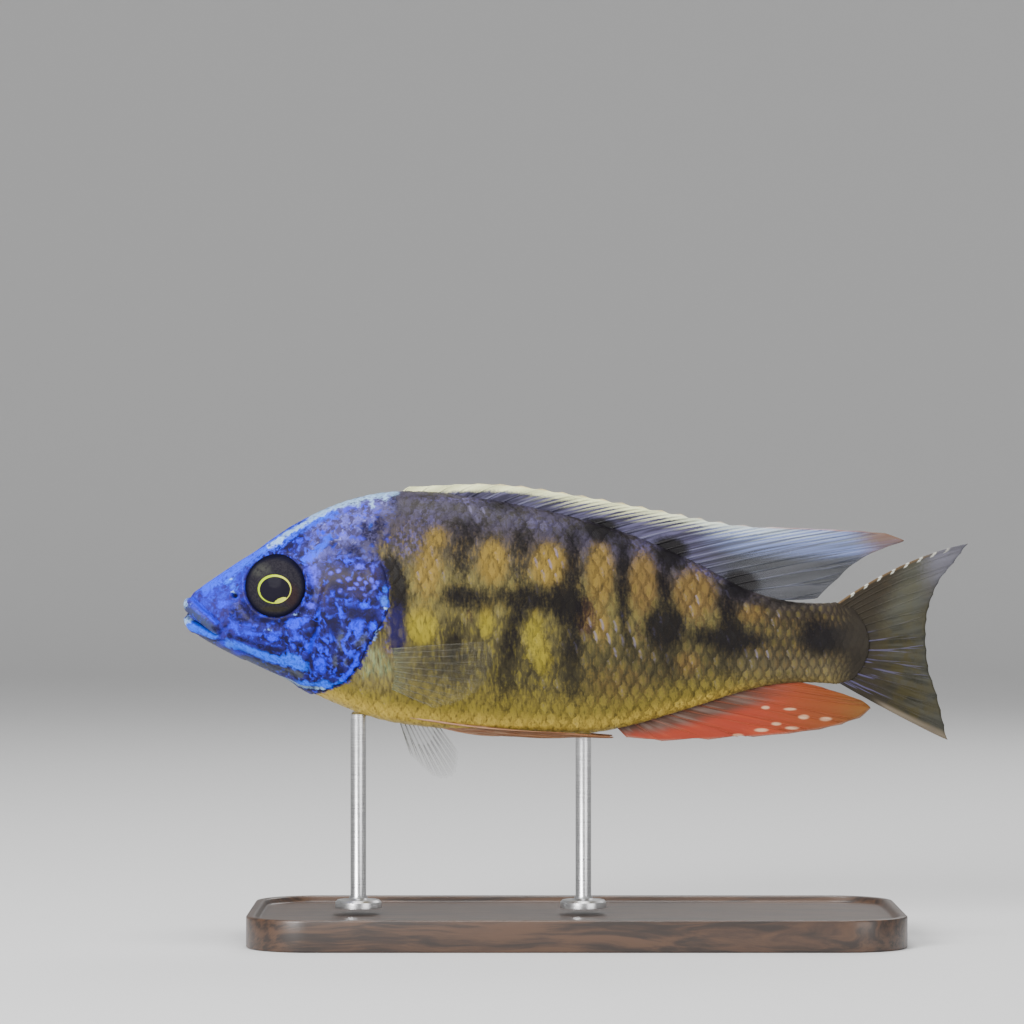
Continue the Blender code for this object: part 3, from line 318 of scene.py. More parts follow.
AZURE_BANDS = [
    ([(8.8, 56.5), (11.8, 55.6), (14.5, 54.6), (17.0, 53.7), (19.0, 53.2), (21.2, 53.1), (23.6, 52.2)],
     0.85),
    ([(1.4, 60.4), (3.2, 59.4), (4.8, 58.6), (6.2, 58.0)], 0.7),
]
TURQUOISE_SPOTS = [
    (38.8, 64.8, 0.85, 0.95, 0, 0.9), (9.1, 56.3, 0.9, 0.7, 0, 0.8), (12.4, 55.2, 1.3, 0.6, 12, 0.5),
]
PERIWINKLE_SPOTS = [
    (30.4, 66.7, 0.48, 0.42, 0, 0.95), (30.2, 68.6, 0.5, 0.3, 0, 0.95), (32.0, 68.9, 0.6, 0.35, 0, 1.0),
    (34.0, 68.9, 0.42, 0.36, 0, 0.95), (33.5, 68.0, 0.5, 0.3, 25, 0.95),
    (34.6, 67.1, 0.52, 0.36, 0, 0.95), (32.5, 67.1, 0.8, 0.3, -10, 0.95),
    (36.4, 68.6, 0.4, 0.5, 0, 0.95), (35.3, 68.2, 0.5, 0.3, 30, 0.95),
    (36.9, 67.3, 0.4, 0.46, 0, 0.9), (37.5, 68.1, 0.36, 0.36, 0, 0.9), (28.6, 70.0, 0.5, 0.4, 0, 0.95),
    (30.0, 70.4, 0.5, 0.4, 0, 0.95), (35.1, 65.9, 0.42, 0.3, 0, 0.7), (34.1, 71.3, 1.1, 0.7, 0, 0.8),
    (25.3, 68.5, 0.9, 1.0, 0, 0.75), (25.0, 70.6, 1.8, 1.0, 30, 0.7), (24.8, 63.9, 1.2, 0.65, 0, 0.85),
    (36.6, 71.0, 0.4, 1.1, 0, 0.7), (31.3, 82.2, 0.9, 0.5, -20, 0.8), (28.2, 79.4, 0.8, 0.5, -20, 0.6),
    (34.0, 76.6, 0.8, 0.5, 0, 0.6), (33.0, 82.6, 0.5, 0.6, 0, 0.7), (30.4, 77.4, 0.6, 0.6, 0, 0.5),
    (37.4, 81.6, 0.8, 0.5, -10, 0.6), (41.6, 81.0, 0.6, 0.7, 0, 0.6), (39.2, 76.2, 0.7, 0.5, 0, 0.5),
]
# Painted highlight on the lip tips, along the forehead and on the nape's ridge, as if lit from above,
# with a few pale marks on the cheek and gill cover.
PALE_AND_PAINTED_HIGHLIGHT_SPOTS = [
    (0.5, 64.1, 1.1, 0.9, 0, 0.9), (0.7, 60.9, 1.1, 0.8, 0, 0.9), (38.4, 56.0, 1.2, 1.6, 0, 0.7),
    (10.1, 66.35, 0.6, 0.24, 10, 0.55),
    (18.5, 75.9, 1.3, 0.5, -30, 0.6), (16.7, 59.2, 0.6, 0.3, 0, 0.35), (22.2, 62.2, 1.1, 0.3, -15, 0.35),
    (37.7, 57.2, 0.7, 0.7, 0, 0.7), (37.4, 59.0, 0.7, 0.5, -30, 0.35), (39.0, 63.4, 0.9, 0.22, 0, 0.4),
    (9.5, 69.1, 0.6, 0.3, -20, 0.45), (20.6, 77.9, 0.6, 0.3, -35, 0.5),
    (36.2, 83.2, 0.5, 0.8, 0, 0.8), (38.8, 84.2, 0.6, 0.7, 0, 0.8), (33.2, 83.0, 0.5, 0.5, 0, 0.7),
]
PALE_AND_PAINTED_HIGHLIGHT_BANDS = [
    ([(12.0, 52.7), (15.6, 51.0), (19.6, 49.5), (23.4, 48.4), (27.4, 48.1)], 0.26),
    ([(16.5, 75.2), (20.0, 77.5), (24.0, 80.0), (27.0, 81.6)], 0.4),
    ([(24.6, 80.8), (28.0, 82.3), (32.1, 83.8), (36.0, 84.7), (40.8, 85.4)], 0.60),
]
ASH_BANDS = [
    ([(1.0, 63.2), (2.4, 62.1), (4.2, 60.9), (6.0, 59.4)], 0.85), ([(6.6, 58.4), (5.6, 59.6)], 0.5),
]
# The first band, along the forehead's top edge, is a pale blue blaze with painted light from above in it.
SKY_BANDS = [
    ([(4.6, 67.4), (9.0, 70.2), (14.0, 73.4), (19.0, 76.6), (24.0, 79.8), (28.4, 81.8)], 1.2),
    ([(23.6, 72.6), (25.6, 74.0), (28.0, 76.8)], 0.8),
]
NAVY_SPOTS = [
    (36.2, 62.1, 1.6, 0.95, 10, 1.0), (11.6, 62.3, 2.0, 1.6, 0, 0.7), (11.6, 57.3, 1.9, 0.6, 15, 0.8),
    (15.2, 55.9, 1.9, 0.7, 20, 0.9), (18.4, 55.4, 1.5, 0.6, 10, 0.8), (29.1, 68.0, 0.7, 0.7, 0, 0.8),
    (30.6, 65.6, 0.9, 0.4, 0, 0.8), (32.4, 63.0, 1.5, 1.1, 0, 0.5), (29.3, 60.8, 0.8, 1.1, 0, 0.6),
    (28.6, 64.2, 1.2, 0.5, 0, 0.6), (24.9, 52.8, 0.35, 1.4, -8, 1.0), (32.7, 53.5, 0.35, 0.7, 0, 0.9),
    (22.6, 56.4, 0.9, 0.5, 0, 0.7), (24.2, 58.6, 0.8, 0.9, 0, 0.6), (19.6, 57.4, 0.5, 1.2, 0, 0.6),
    (34.9, 79.4, 0.7, 0.9, 0, 0.7), (37.6, 79.2, 1.2, 1.8, 0, 0.8), (28.8, 75.8, 0.6, 0.8, 0, 0.6),
    (32.6, 74.6, 1.6, 1.0, 0, 0.7), (38.2, 73.7, 0.8, 0.8, 0, 0.6), (40.6, 83.9, 1.2, 1.4, -30, 0.95),
    (31.6, 70.6, 0.9, 0.7, 0, 0.6), (8.4, 60.2, 0.7, 1.4, 35, 0.7), (9.2, 58.0, 0.5, 0.7, 0, 0.9),
    (6.6, 59.4, 0.9, 0.5, 40, 0.8), (25.2, 66.2, 0.8, 0.8, 0, 0.5), (23.0, 77.4, 0.9, 0.25, 20, 0.5),
    (16.0, 61.1, 2.8, 0.6, -5, 0.8), (44.4, 80.4, 1.0, 1.7, 0, 0.8), (42.6, 83.4, 2.6, 1.4, -10, 1.0),
    (12.0, 62.8, 2.6, 2.0, 0, 0.9), (35.6, 77.4, 2.2, 1.8, 0, 0.7), (39.2, 69.6, 1.6, 2.4, 0, 0.8),
    (30.0, 67.2, 2.0, 1.2, 0, 0.6), (33.6, 62.2, 1.8, 1.2, 0, 0.7), (29.4, 59.4, 1.4, 1.6, 0, 0.6),
    (38.6, 75.2, 2.0, 2.4, 0, 0.6), (25.6, 58.9, 0.8, 1.0, 0, 0.7), (40.8, 78.0, 1.6, 1.6, 0, 0.6),
    (41.0, 72.6, 1.4, 2.0, 0, 0.6),
]
UMBER_SPOTS = [
    (27.0, 67.4, 0.9, 1.7, 0, 0.8), (32.6, 68.0, 3.6, 1.8, 0, 0.75), (34.5, 65.8, 2.2, 0.8, 0, 0.6),
    (39.4, 56.1, 1.5, 1.0, 0, 0.9), (29.4, 75.4, 2.2, 2.4, 0, 0.35),
    (10.8, 57.4, 1.4, 0.5, 10, 0.5), (27.4, 73.4, 1.4, 1.6, 0, 0.4),
    (29.6, 69.4, 3.6, 2.2, 0, 0.85), (27.6, 65.0, 1.6, 2.0, 0, 0.6), (36.4, 69.8, 2.6, 2.2, 0, 0.7),
]
OLIVE_SPOTS = [
    (30.6, 57.4, 0.9, 2.4, 0, 0.75), (34.4, 57.4, 1.8, 0.9, -50, 0.7), (29.4, 53.4, 0.6, 1.6, 0, 0.7),
    (31.5, 53.2, 0.5, 0.9, 0, 0.6), (5.2, 57.0, 2.6, 0.9, 25, 0.85), (32.4, 62.0, 0.9, 1.2, 0, 0.4),
    (8.6, 54.8, 1.6, 0.8, 20, 0.8),
]
DUSK_SPOTS = [
    (36.4, 76.2, 2.6, 3.6, 0, 0.9), (38.6, 81.4, 1.8, 2.6, 0, 0.7), (33.8, 79.8, 1.4, 1.2, 0, 0.25),
    (32.0, 75.0, 2.0, 1.6, 0, 0.45), (39.6, 74.0, 1.6, 2.6, 0, 0.8),
]
OLIVE_BANDS = [([(11.0, 53.6), (13.4, 53.1), (16.6, 51.9), (19.8, 51.2), (22.8, 50.8)], 0.8)]
LIME_SPOTS = [
    (36.4, 53.4, 1.6, 3.0, -8, 1.0), (38.4, 52.8, 1.4, 2.8, -25, 0.8), (34.8, 51.4, 1.0, 1.8, 10, 0.6),
]
INDIGO_SPOTS = [(40.7, 60.4, 1.6, 3.8, 4, 1.0), (41.4, 57.2, 1.4, 2.4, 10, 0.9)]


def smooth(points, x):
    """Read a smooth curve through (x, value) points at x, which may be an array."""
    xs, values = np.array(points, dtype=float).T
    slopes = np.empty(len(xs))
    slopes[1:-1] = (values[2:] - values[:-2]) / (xs[2:] - xs[:-2])
    slopes[0] = (values[1] - values[0]) / (xs[1] - xs[0])
    slopes[-1] = (values[-1] - values[-2]) / (xs[-1] - xs[-2])
    x = np.clip(x, xs[0], xs[-1])
    start = np.clip(np.searchsorted(xs, x, side="right") - 1, 0, len(xs) - 2)
    span = xs[start + 1] - xs[start]
    t = (x - xs[start]) / span
    blend = t * t * (3 - 2 * t)
    rise = t * (1 - t) ** 2 * span * slopes[start] + t * t * (t - 1) * span * slopes[start + 1]
    return values[start] + (values[start + 1] - values[start]) * blend + rise


def ease(value, low, high):
    """Rise smoothly from 0 at low to 1 at high."""
    t = np.clip((value - low) / (high - low), 0.0, 1.0)
    return t * t * (3 - 2 * t)


def hump(value, width):
    """Give a soft hump, 1 at 0 and nearly 0 from twice the width."""
    return np.exp(-(value / width) ** 2)


def metres(points):
    """Turn rows of millimetres behind the snout, across and up into the model's metres."""
    return (np.asarray(points) - (TOTAL_LENGTH / 2, 0, 0)) * MM


def line_field(line, x, z):
    """Give the distance to a side-view line, the share along it, and on which side of it.

    The side is 1 behind a line that runs down the fish, and -1 in front of it.
    """
    line = np.array(line, dtype=float)
    lengths = np.linalg.norm(np.diff(line, axis=0), axis=1)
    before = np.concatenate([[0.0], np.cumsum(lengths)])
    nearest = np.full(np.shape(x), 1e9)
    share = np.zeros(np.shape(x))
    side = np.ones(np.shape(x))
    for start, end, length, passed in zip(line[:-1], line[1:], lengths, before):
        along = (end - start) / length
        t = np.clip((x - start[0]) * along[0] + (z - start[1]) * along[1], 0.0, length)
        away_x = x - start[0] - along[0] * t
        away_z = z - start[1] - along[1] * t
        away = np.hypot(away_x, away_z)
        closer = away < nearest
        nearest = np.where(closer, away, nearest)
        share = np.where(closer, (passed + t) / before[-1], share)
        turn = along[0] * away_z - along[1] * away_x
        side = np.where(closer, np.where(turn >= 0, 1.0, -1.0), side)
    return nearest, share, side


def spots_field(spots, x, z):
    """Lay soft leaning spots over each other and give how strongly they cover each place."""
    bare = np.ones(np.shape(x))
    for behind, height, half_length, half_height, lean, strength in spots:
        turn = math.radians(lean)
        along = (x - behind) * math.cos(turn) - (z - height) * math.sin(turn)
        up = (x - behind) * math.sin(turn) + (z - height) * math.cos(turn)
        reach = (along / half_length) ** 2 + (up / half_height) ** 2
        bare *= 1 - strength * np.exp(-0.8 * reach ** 1.4)
    return 1 - bare


def bands_field(bands, x, z):
    """Give how strongly bands along lines cover each place."""
    bare = np.ones(np.shape(x))
    for line, half_width in bands:
        bare *= 1 - hump(line_field(line, x, z)[0], half_width)
    return 1 - bare


class Skin:
    """The body's bare surface, read from a table of half sections from back to belly."""

    def __init__(self):
        steps = int((SKIN_LENGTH - NOSE_START) / TABLE_STEP)
        self.xs = np.linspace(NOSE_START, SKIN_LENGTH, steps + 1)
        self.points, self.arcs = half_sections(self.xs, TABLE_SHARES)
        along = np.gradient(self.points, self.xs, axis=0)
        down = np.gradient(self.points, axis=1)
        out = np.cross(along, down)
        out /= np.maximum(np.linalg.norm(out, axis=2, keepdims=True), 1e-9)
        self.normals = np.where(out[:, :, 1:2].sum(axis=1, keepdims=True) > 0, out, -out)
        middle_height = smooth(MID_LINE, self.xs)
        lower = np.argmax(self.points[:, :, 2] < middle_height[:, None], axis=1)
        self.middles = lower / (TABLE_SHARES - 1) * self.arcs

    def read(self, table, x, share):
        """Read a table between its rows and columns."""
        row = np.clip((x - self.xs[0]) / (self.xs[1] - self.xs[0]), 0, len(self.xs) - 1.001)
        column = np.clip(share, 0, 1) * (TABLE_SHARES - 1.001)
        i = row.astype(int)
        j = column.astype(int)
        s = (row - i)[..., None]
        t = (column - j)[..., None]
        near = table[i, j] * (1 - t) + table[i, j + 1] * t
        far = table[i + 1, j] * (1 - t) + table[i + 1, j + 1] * t
        return near * (1 - s) + far * s

    def place(self, x, share, side):
        """Give points and outward ways on one side, where shares past a midline change side."""
        across = np.where((share < 0) | (share > 1), -side, side)[..., None]
        share = np.abs(share)
        share = np.where(share > 1, 2 - share, share)
        flip = np.concatenate([np.ones_like(across), across, np.ones_like(across)], axis=-1)
        return self.read(self.points, x, share) * flip, self.read(self.normals, x, share) * flip


def half_sections(xs, shares):
    """Give the half section at each x as points at equal arc steps, and its arc length."""
    back = np.clip((xs - NOSE_START) / NOSE_ROUND, 0.0, 1.0)
    nose = np.sqrt(1 - (1 - back) ** 2)
    top = NOSE_HEIGHT + (smooth(BACK_LINE, xs) - NOSE_HEIGHT) * nose
    bottom = NOSE_HEIGHT + (smooth(BELLY_LINE, xs) - NOSE_HEIGHT) * nose
    widest = bottom + (top - bottom) * smooth(WIDEST_SHARE, xs)
    half_width = smooth(HALF_WIDTH, xs) * nose
    turns = np.linspace(0.0, math.pi, HALF_TURNS)
    across = np.abs(np.sin(turns))[None, :]
    up = np.cos(turns)[None, :]
    upper = up >= 0
    rounder_above = smooth(UPPER_ROUNDNESS, xs)[:, None]
    rounder_below = smooth(LOWER_ROUNDNESS, xs)[:, None]
    roundness = np.where(upper, rounder_above, rounder_below)
    height = np.where(upper, (top - widest)[:, None], (widest - bottom)[:, None])
    y = half_width[:, None] * across ** (2 / roundness)
    z = widest[:, None] + height * np.sign(up) * np.abs(up) ** (2 / roundness)
    points = np.empty((len(xs), shares, 3))
    arcs = np.empty(len(xs))
    for row in range(len(xs)):
        steps = np.hypot(np.diff(y[row]), np.diff(z[row]))
        arc = np.concatenate([[0.0], np.cumsum(steps)])
        arcs[row] = arc[-1]
        wanted = np.linspace(0.0, arc[-1], shares)
        points[row, :, 0] = xs[row]
        points[row, :, 1] = np.interp(wanted, arc, y[row])
        points[row, :, 2] = np.interp(wanted, arc, z[row])
    return points, arcs


def behind_gills(x, z):
    """Give how far a place lies behind the gill cover's edge, less than 0 in front of it."""
    away, _, side = line_field(GILL_EDGE, x, z)
    return away * side


def scaled(x, z):
    """Give where the body is scaled: behind the gill cover and on the nape."""
    trunk = ease(behind_gills(x, z), -0.2, 0.9) * ease(x, 18.0, 22.0)
    nape = ease(x + 0.9 * (z - 72.0), 28.0, 36.0) * ease(z, 72.5, 75.5)
    return np.maximum(trunk, nape)


def coat_depth(x, z):
    """Give how deep below the body's outer surface the skin lies."""
    depth = BARE_DEPTH + (COAT_DEPTH - BARE_DEPTH) * scaled(x, z)
    return depth * (1 - 0.8 * ease(x, 119.0, SKIN_LENGTH))


def end_pull(x, z):
    """Give how far forward the skin's end is drawn above and below its middle, to round it."""
    return 3.4 * ease(x, 123.0, SKIN_LENGTH) * ((z - 56.4) / 7.2) ** 2


def relief(x, z):
    """Give how far the head's features raise the skin, and how much painted shade lies in its creases and
    hollows.
    """
    raised = np.zeros(np.shape(x))
    crease_shade = np.zeros(np.shape(x))

    for line, radius, narrowing, height, lowering in LIPS:
        away, share, _ = line_field(line, x, z)
        round_off = np.sqrt(np.clip(1 - (away / (radius - narrowing * share)) ** 2, 0, 1))
        raised += (height - lowering * share) * round_off
    for line, depth, width, start in FOLDS:
        away, share, _ = line_field(line, x, z)
        fade = ease(share, 0.0, start) * ease(1 - share, 0.0, 0.12)
        raised -= depth * fade * hump(away, width)
        crease_shade = np.maximum(crease_shade, 0.55 * fade * hump(away, width * 0.8))
    away, share, side = line_field(CHEEK_EDGE, x, z)
    cheek = ease(-side * away, 0.1, 0.6) * ease(side * away + 4.0, 0.0, 3.0) * ease(share, 0, 0.3)
    raised += CHEEK_LIFT * cheek
    away, share, _ = line_field(MOUTH_LINE, x, z)
    slit = np.exp(-(away / (0.30 - 0.12 * share)) ** 4) * ease(1 - share, 0.0, 0.06)
    raised -= (MOUTH_DEPTH[0] + (MOUTH_DEPTH[1] - MOUTH_DEPTH[0]) * share) * slit
    crease_shade = np.maximum(crease_shade, slit)

    from_eye = np.hypot(x - EYE_CENTRE[0], z - EYE_CENTRE[1])
    raised += EYE_RIM[1] * hump(from_eye - EYE_RIM[0], 0.5)
    raised -= EYE_FURROW[1] * hump(from_eye - EYE_FURROW[0], 0.7)
    raised -= SOCKET_DEPTH * ease(EYE_OPENING + 0.12 - from_eye, 0.0, 0.5)
    crease_shade = np.maximum(crease_shade, ease(EYE_OPENING + 0.25 - from_eye, 0.0, 0.3))
    from_nostril = np.hypot(x - NOSTRIL[0], z - NOSTRIL[1])
    inside = np.exp(-(from_nostril / 0.5) ** 4)
    raised += NOSTRIL_RIM[1] * hump(from_nostril - NOSTRIL_RIM[0], 0.3) - NOSTRIL_DEPTH * inside
    crease_shade = np.maximum(crease_shade, inside)
    for behind, height in PORES:
        from_pore = np.hypot(x - behind, z - height)
        raised += PORE_RIM[1] * hump(from_pore - PORE_RIM[0], 0.16) - PORE_DEPTH * hump(from_pore, 0.22)
        crease_shade = np.maximum(crease_shade, 0.7 * hump(from_pore, 0.24))

    behind = behind_gills(x, z)
    below = ease(x, 20.0, 24.0)
    ends = ease(74.2 - z, 0.0, 6.0) * below
    raised += COVER_LIFT * ease(-behind, 0.0, 0.3) * (1 - 0.7 * ease(-behind, 1.0, 10.0)) * ends
    raised -= GILL_GROOVE * hump(behind - 0.35, 0.4) * ends
    crease_shade = np.maximum(crease_shade, 0.4 * hump(behind - 0.25, 0.3) * ends)
    raised += 0.1 * hump(behind + 2.6, 0.7) * ends
    return raised, crease_shade


MARKS = {
    "umber": (UMBER_SPOTS, []), "dusk": (DUSK_SPOTS, []), "olive": (OLIVE_SPOTS, OLIVE_BANDS),
    "navy": (NAVY_SPOTS, []),
    "ash": ([], ASH_BANDS), "sky": ([], SKY_BANDS), "cobalt": (COBALT_SPOTS, COBALT_BANDS),
    "azure": (AZURE_SPOTS, AZURE_BANDS), "turquoise": (TURQUOISE_SPOTS, []),
    "periwinkle": (PERIWINKLE_SPOTS, []), "pale_and_painted_highlight": (PALE_AND_PAINTED_HIGHLIGHT_SPOTS, PALE_AND_PAINTED_HIGHLIGHT_BANDS),
    "indigo": (INDIGO_SPOTS, []), "lime": (LIME_SPOTS, []), "dark": (DARK_SPOTS, []),
    "gold": (GOLD_SPOTS, []), "rust": (RUST_SPOTS, []), "lilac": (LILAC_SPOTS, []),
    "specks": (PALE_SPECKS, []),
}


def markings(x, z):
    """Give the strength of every pigment and painted highlight at each place, as seen from the side."""
    fields = {}
    for name, (spots, bands) in MARKS.items():
        fields[name] = 1 - (1 - spots_field(spots, x, z)) * (1 - bands_field(bands, x, z))
    front = 1 - ease(behind_gills(x, z), -0.1, 0.7)
    nape = ease(45.0 - x - 0.16 * np.clip(86.0 - z, 0, 30) ** 1.25, 0.0, 8.0) * ease(z, 66.0, 71.0)
    back = smooth(BACK_LINE, x)
    belly = smooth(BELLY_LINE, x)
    fields["blue"] = np.maximum(front * ease(76.0 - z, -2.0, 3.0), nape)
    fields["height"] = (z - belly) / (back - belly)
    fields["nape"] = ease(z - 0.35 * (x - 30.0), 71.0, 76.0) * ease(x, 21.0, 28.0)
    fields["cover"] = ease(x, 10.0, 17.0)
    return fields


def select_none():
    """Deselect every object, so that an operator acts on the new piece alone."""
    bpy.ops.object.select_all(action="DESELECT")


def add_object(name, data):
    """Put a mesh, curve, lamp or camera into the scene."""
    made = bpy.data.objects.new(name, data)
    bpy.context.scene.collection.objects.link(made)
    return made


def take(piece):
    """Select one piece alone and make it the active one."""
    select_none()
    bpy.context.view_layer.objects.active = piece
    piece.select_set(True)


def in_edit_mode(piece, operators):
    """Run edit-mode operators on the whole of one piece."""
    take(piece)
    bpy.ops.object.mode_set(mode="EDIT")
    bpy.ops.mesh.select_all(action="SELECT")
    operators()
    bpy.ops.object.mode_set(mode="OBJECT")


def apply_all(piece):
    """Apply every modifier of a piece."""
    take(piece)
    for modifier in list(piece.modifiers):
        bpy.ops.object.modifier_apply(modifier=modifier.name)


def stored_points(piece):
    """Give a piece's points as its mesh holds them."""
    spots = np.empty(len(piece.data.vertices) * 3)
    piece.data.vertices.foreach_get("co", spots)
    return spots.reshape(-1, 3)


def grid_piece(name, columns, rows):
    """Add a grid of columns by rows faces, and give it with each point's column and row."""
    select_none()
    bpy.ops.mesh.primitive_grid_add(x_subdivisions=columns, y_subdivisions=rows, size=1.0)
    piece = bpy.context.object
    piece.name = name
    spots = stored_points(piece)
    column = np.rint((spots[:, 0] + 0.5) * columns).astype(int)
    row = np.rint((spots[:, 1] + 0.5) * rows).astype(int)
    return piece, column, row


def move_points(piece, points):
    """Put a piece's points at these places, in metres."""
    piece.data.vertices.foreach_set("co", np.ascontiguousarray(points, dtype=np.float32).ravel())
    piece.data.update()


def points_of(piece):
    """Give a piece's points in millimetres behind the snout, across and up."""
    return stored_points(piece) / MM + (TOTAL_LENGTH / 2, 0, 0)


def store(piece, name, values):
    """Keep one number for each point of a piece, for its material."""
    attribute = piece.data.attributes.new(name, "FLOAT", "POINT")
    attribute.data.foreach_set("value", np.ascontiguousarray(values, dtype=np.float32))


def finish(piece, slot, material, nodes=(), smooth_angle=None):
    """Dress a piece: give it its material and smooth shading, hang it under the root, and hide the
    model's parts it stands for.
    """
    piece.data.materials.clear()
    piece.data.materials.append(material)
    take(piece)
    if smooth_angle is None:
        bpy.ops.object.shade_smooth()
    else:
        bpy.ops.object.shade_smooth_by_angle(angle=math.radians(smooth_angle))
    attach(piece, "root")
    if nodes:
        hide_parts(*nodes)


class Wire:
    """An output of a material's node, with sums that add Math nodes."""

    def __init__(self, paint, socket):
        self.paint = paint
        self.socket = socket

    def __add__(self, other):
        return self.paint.maths("ADD", self, other)

    def __sub__(self, other):
        return self.paint.maths("SUBTRACT", self, other)

    def __rsub__(self, other):
        return self.paint.maths("SUBTRACT", other, self)

    def __mul__(self, other):
        return self.paint.maths("MULTIPLY", self, other)

    def __truediv__(self, other):
        return self.paint.maths("DIVIDE", self, other)

    def __pow__(self, other):
        return self.paint.maths("POWER", self, other)

    __radd__ = __add__
    __rmul__ = __mul__

    def at_least(self, other):
        return self.paint.maths("MAXIMUM", self, other)

    def size(self):
        return self.paint.maths("ABSOLUTE", self)

    def wave(self):
        return self.paint.maths("SINE", self)


class Paint:
    """A material under construction: a Principled shader and what feeds it.

    It reads its place on the piece in millimetres, how far behind the snout that is, and how high.
    """

    def __init__(self, name, **constants):
        self.material = bpy.data.materials.new(name)
        self.material.use_nodes = True
        self.tree = self.material.node_tree
        self.shader = self.tree.nodes["Principled BSDF"]
        for key, value in constants.items():
            self.shader.inputs[key.replace("_", " ")].default_value = value
        spot = self.node("ShaderNodeTexCoord", {}, {}, output="Object")
        in_millimetres = {0: spot, "Scale": 1 / MM}
        self.place = self.node("ShaderNodeVectorMath", {"operation": "SCALE"}, in_millimetres)
        x, _, self.height = self.parts(self.place)
        self.behind = x + TOTAL_LENGTH / 2

    def node(self, kind, settings, sockets, output=0):
        """Add a node: its settings first, then the values or wires of its sockets."""
        made = self.tree.nodes.new(kind)
        for key, value in settings.items():
            setattr(made, key, value)
        for key, value in sockets.items():
            self.connect(made.inputs[key], value)
        return Wire(self, made.outputs[output])

    def connect(self, socket, value):
        """Link a wire to a socket, or set the socket's value."""
        if isinstance(value, Wire):
            self.tree.links.new(value.socket, socket)
        elif socket.type == "RGBA":
            socket.default_value = (*value, 1.0)
        else:
            socket.default_value = value

    def feed(self, **sockets):
        """Connect the shader's own sockets."""
        for key, value in sockets.items():
            self.connect(self.shader.inputs[key.replace("_", " ")], value)
        return self.material

    def maths(self, operation, first, second=0.0):
        return self.node("ShaderNodeMath", {"operation": operation}, {0: first, 1: second})

    def vectors(self, operation, first, second):
        return self.node("ShaderNodeVectorMath", {"operation": operation}, {0: first, 1: second})

    def blend(self, first, second, share):
        """Mix two colours."""
        settings = {"data_type": "RGBA", "clamp_factor": True}
        return self.node("ShaderNodeMix", settings, {0: share, 6: first, 7: second}, output=2)

    def ease(self, value, low, high):
        """Rise smoothly from 0 at low to 1 at high."""
        settings = {"interpolation_type": "SMOOTHSTEP", "clamp": True}
        return self.node("ShaderNodeMapRange", settings, {0: value, 1: low, 2: high, 3: 0.0, 4: 1.0})

    def parts(self, vector):
        """Split a vector into its three numbers."""
        split = self.node("ShaderNodeSeparateXYZ", {}, {0: vector})
        return [Wire(self, output) for output in split.socket.node.outputs]

    def stretch(self, vector, scale):
        """Scale a place by its own factor along each axis."""
        return self.vectors("MULTIPLY", vector, scale)

    def noise(self, place, scale, detail=2.0, rough=0.5, output=0):
        sockets = {"Vector": place, "Scale": scale, "Detail": detail, "Roughness": rough}
        return self.node("ShaderNodeTexNoise", {}, sockets, output)

    def cells(self, place, scale):
        return self.node("ShaderNodeTexVoronoi", {}, {"Vector": place, "Scale": scale}, "Distance")

    def stored(self, name):
        """Read a number that a piece keeps for each of its points."""
        return self.node("ShaderNodeAttribute", {"attribute_name": name}, {}, output="Fac")

    def map(self, name):
        """Read a piece's own map as across, up."""
        return self.parts(self.node("ShaderNodeUVMap", {"uv_map": name}, {}))[:2]

    def bump(self, height, strength, distance):
        sockets = {"Height": height, "Strength": strength, "Distance": distance}
        return self.node("ShaderNodeBump", {}, sockets)


NAVY = (0.009, 0.007, 0.030)
COVER_BLUE = (0.020, 0.017, 0.17)
SNOUT_DARK = (0.028, 0.020, 0.12)
SNOUT_BLUE = (0.016, 0.022, 0.52)
NAPE_DARK = (0.050, 0.043, 0.12)
NAPE_BLUE = (0.11, 0.11, 0.50)
COBALT = (0.004, 0.014, 0.92)
AZURE = (0.004, 0.095, 0.92)
SKY = (0.012, 0.055, 0.88)
TURQUOISE = (0.030, 0.110, 0.70)
PERIWINKLE = (0.048, 0.044, 0.74)
# Pale cyan white, for the head's painted highlights and pale marks.
PALE_AND_PAINTED_HIGHLIGHT = (0.28, 0.47, 0.70)
FLECK = (0.20, 0.21, 0.56)
ASH = (0.040, 0.050, 0.085)
UMBER = (0.028, 0.019, 0.028)
DUSK = (0.070, 0.062, 0.13)
OLIVE_HEAD = (0.054, 0.060, 0.074)
INDIGO = (0.010, 0.007, 0.058)
PAINTED_CREASE_SHADE = (0.006, 0.005, 0.010)
BACK_PURPLE = (0.047, 0.040, 0.066)
BACK_BROWN = (0.060, 0.048, 0.032)
OLIVE = (0.120, 0.100, 0.034)
OLIVE_LOW = (0.062, 0.052, 0.022)
MUSTARD = (0.20, 0.155, 0.030)
BELLY = (0.56, 0.40, 0.074)
CHEST = (0.16, 0.132, 0.060)
LIME = (0.17, 0.20, 0.10)
YELLOW = (0.250, 0.203, 0.021)
GOLD = (0.195, 0.130, 0.028)
ORANGE = (0.136, 0.086, 0.028)
RUST = (0.045, 0.018, 0.016)
LAVENDER = (0.080, 0.068, 0.17)
SPECK = (0.14, 0.125, 0.245)
SOOT = (0.0065, 0.0055, 0.0065)
SHADE = (0.026, 0.022, 0.012)
STALK = (0.038, 0.029, 0.017)
STALK_LOW = (0.105, 0.085, 0.048)
TAIL_OLIVE = (0.023, 0.019, 0.014)
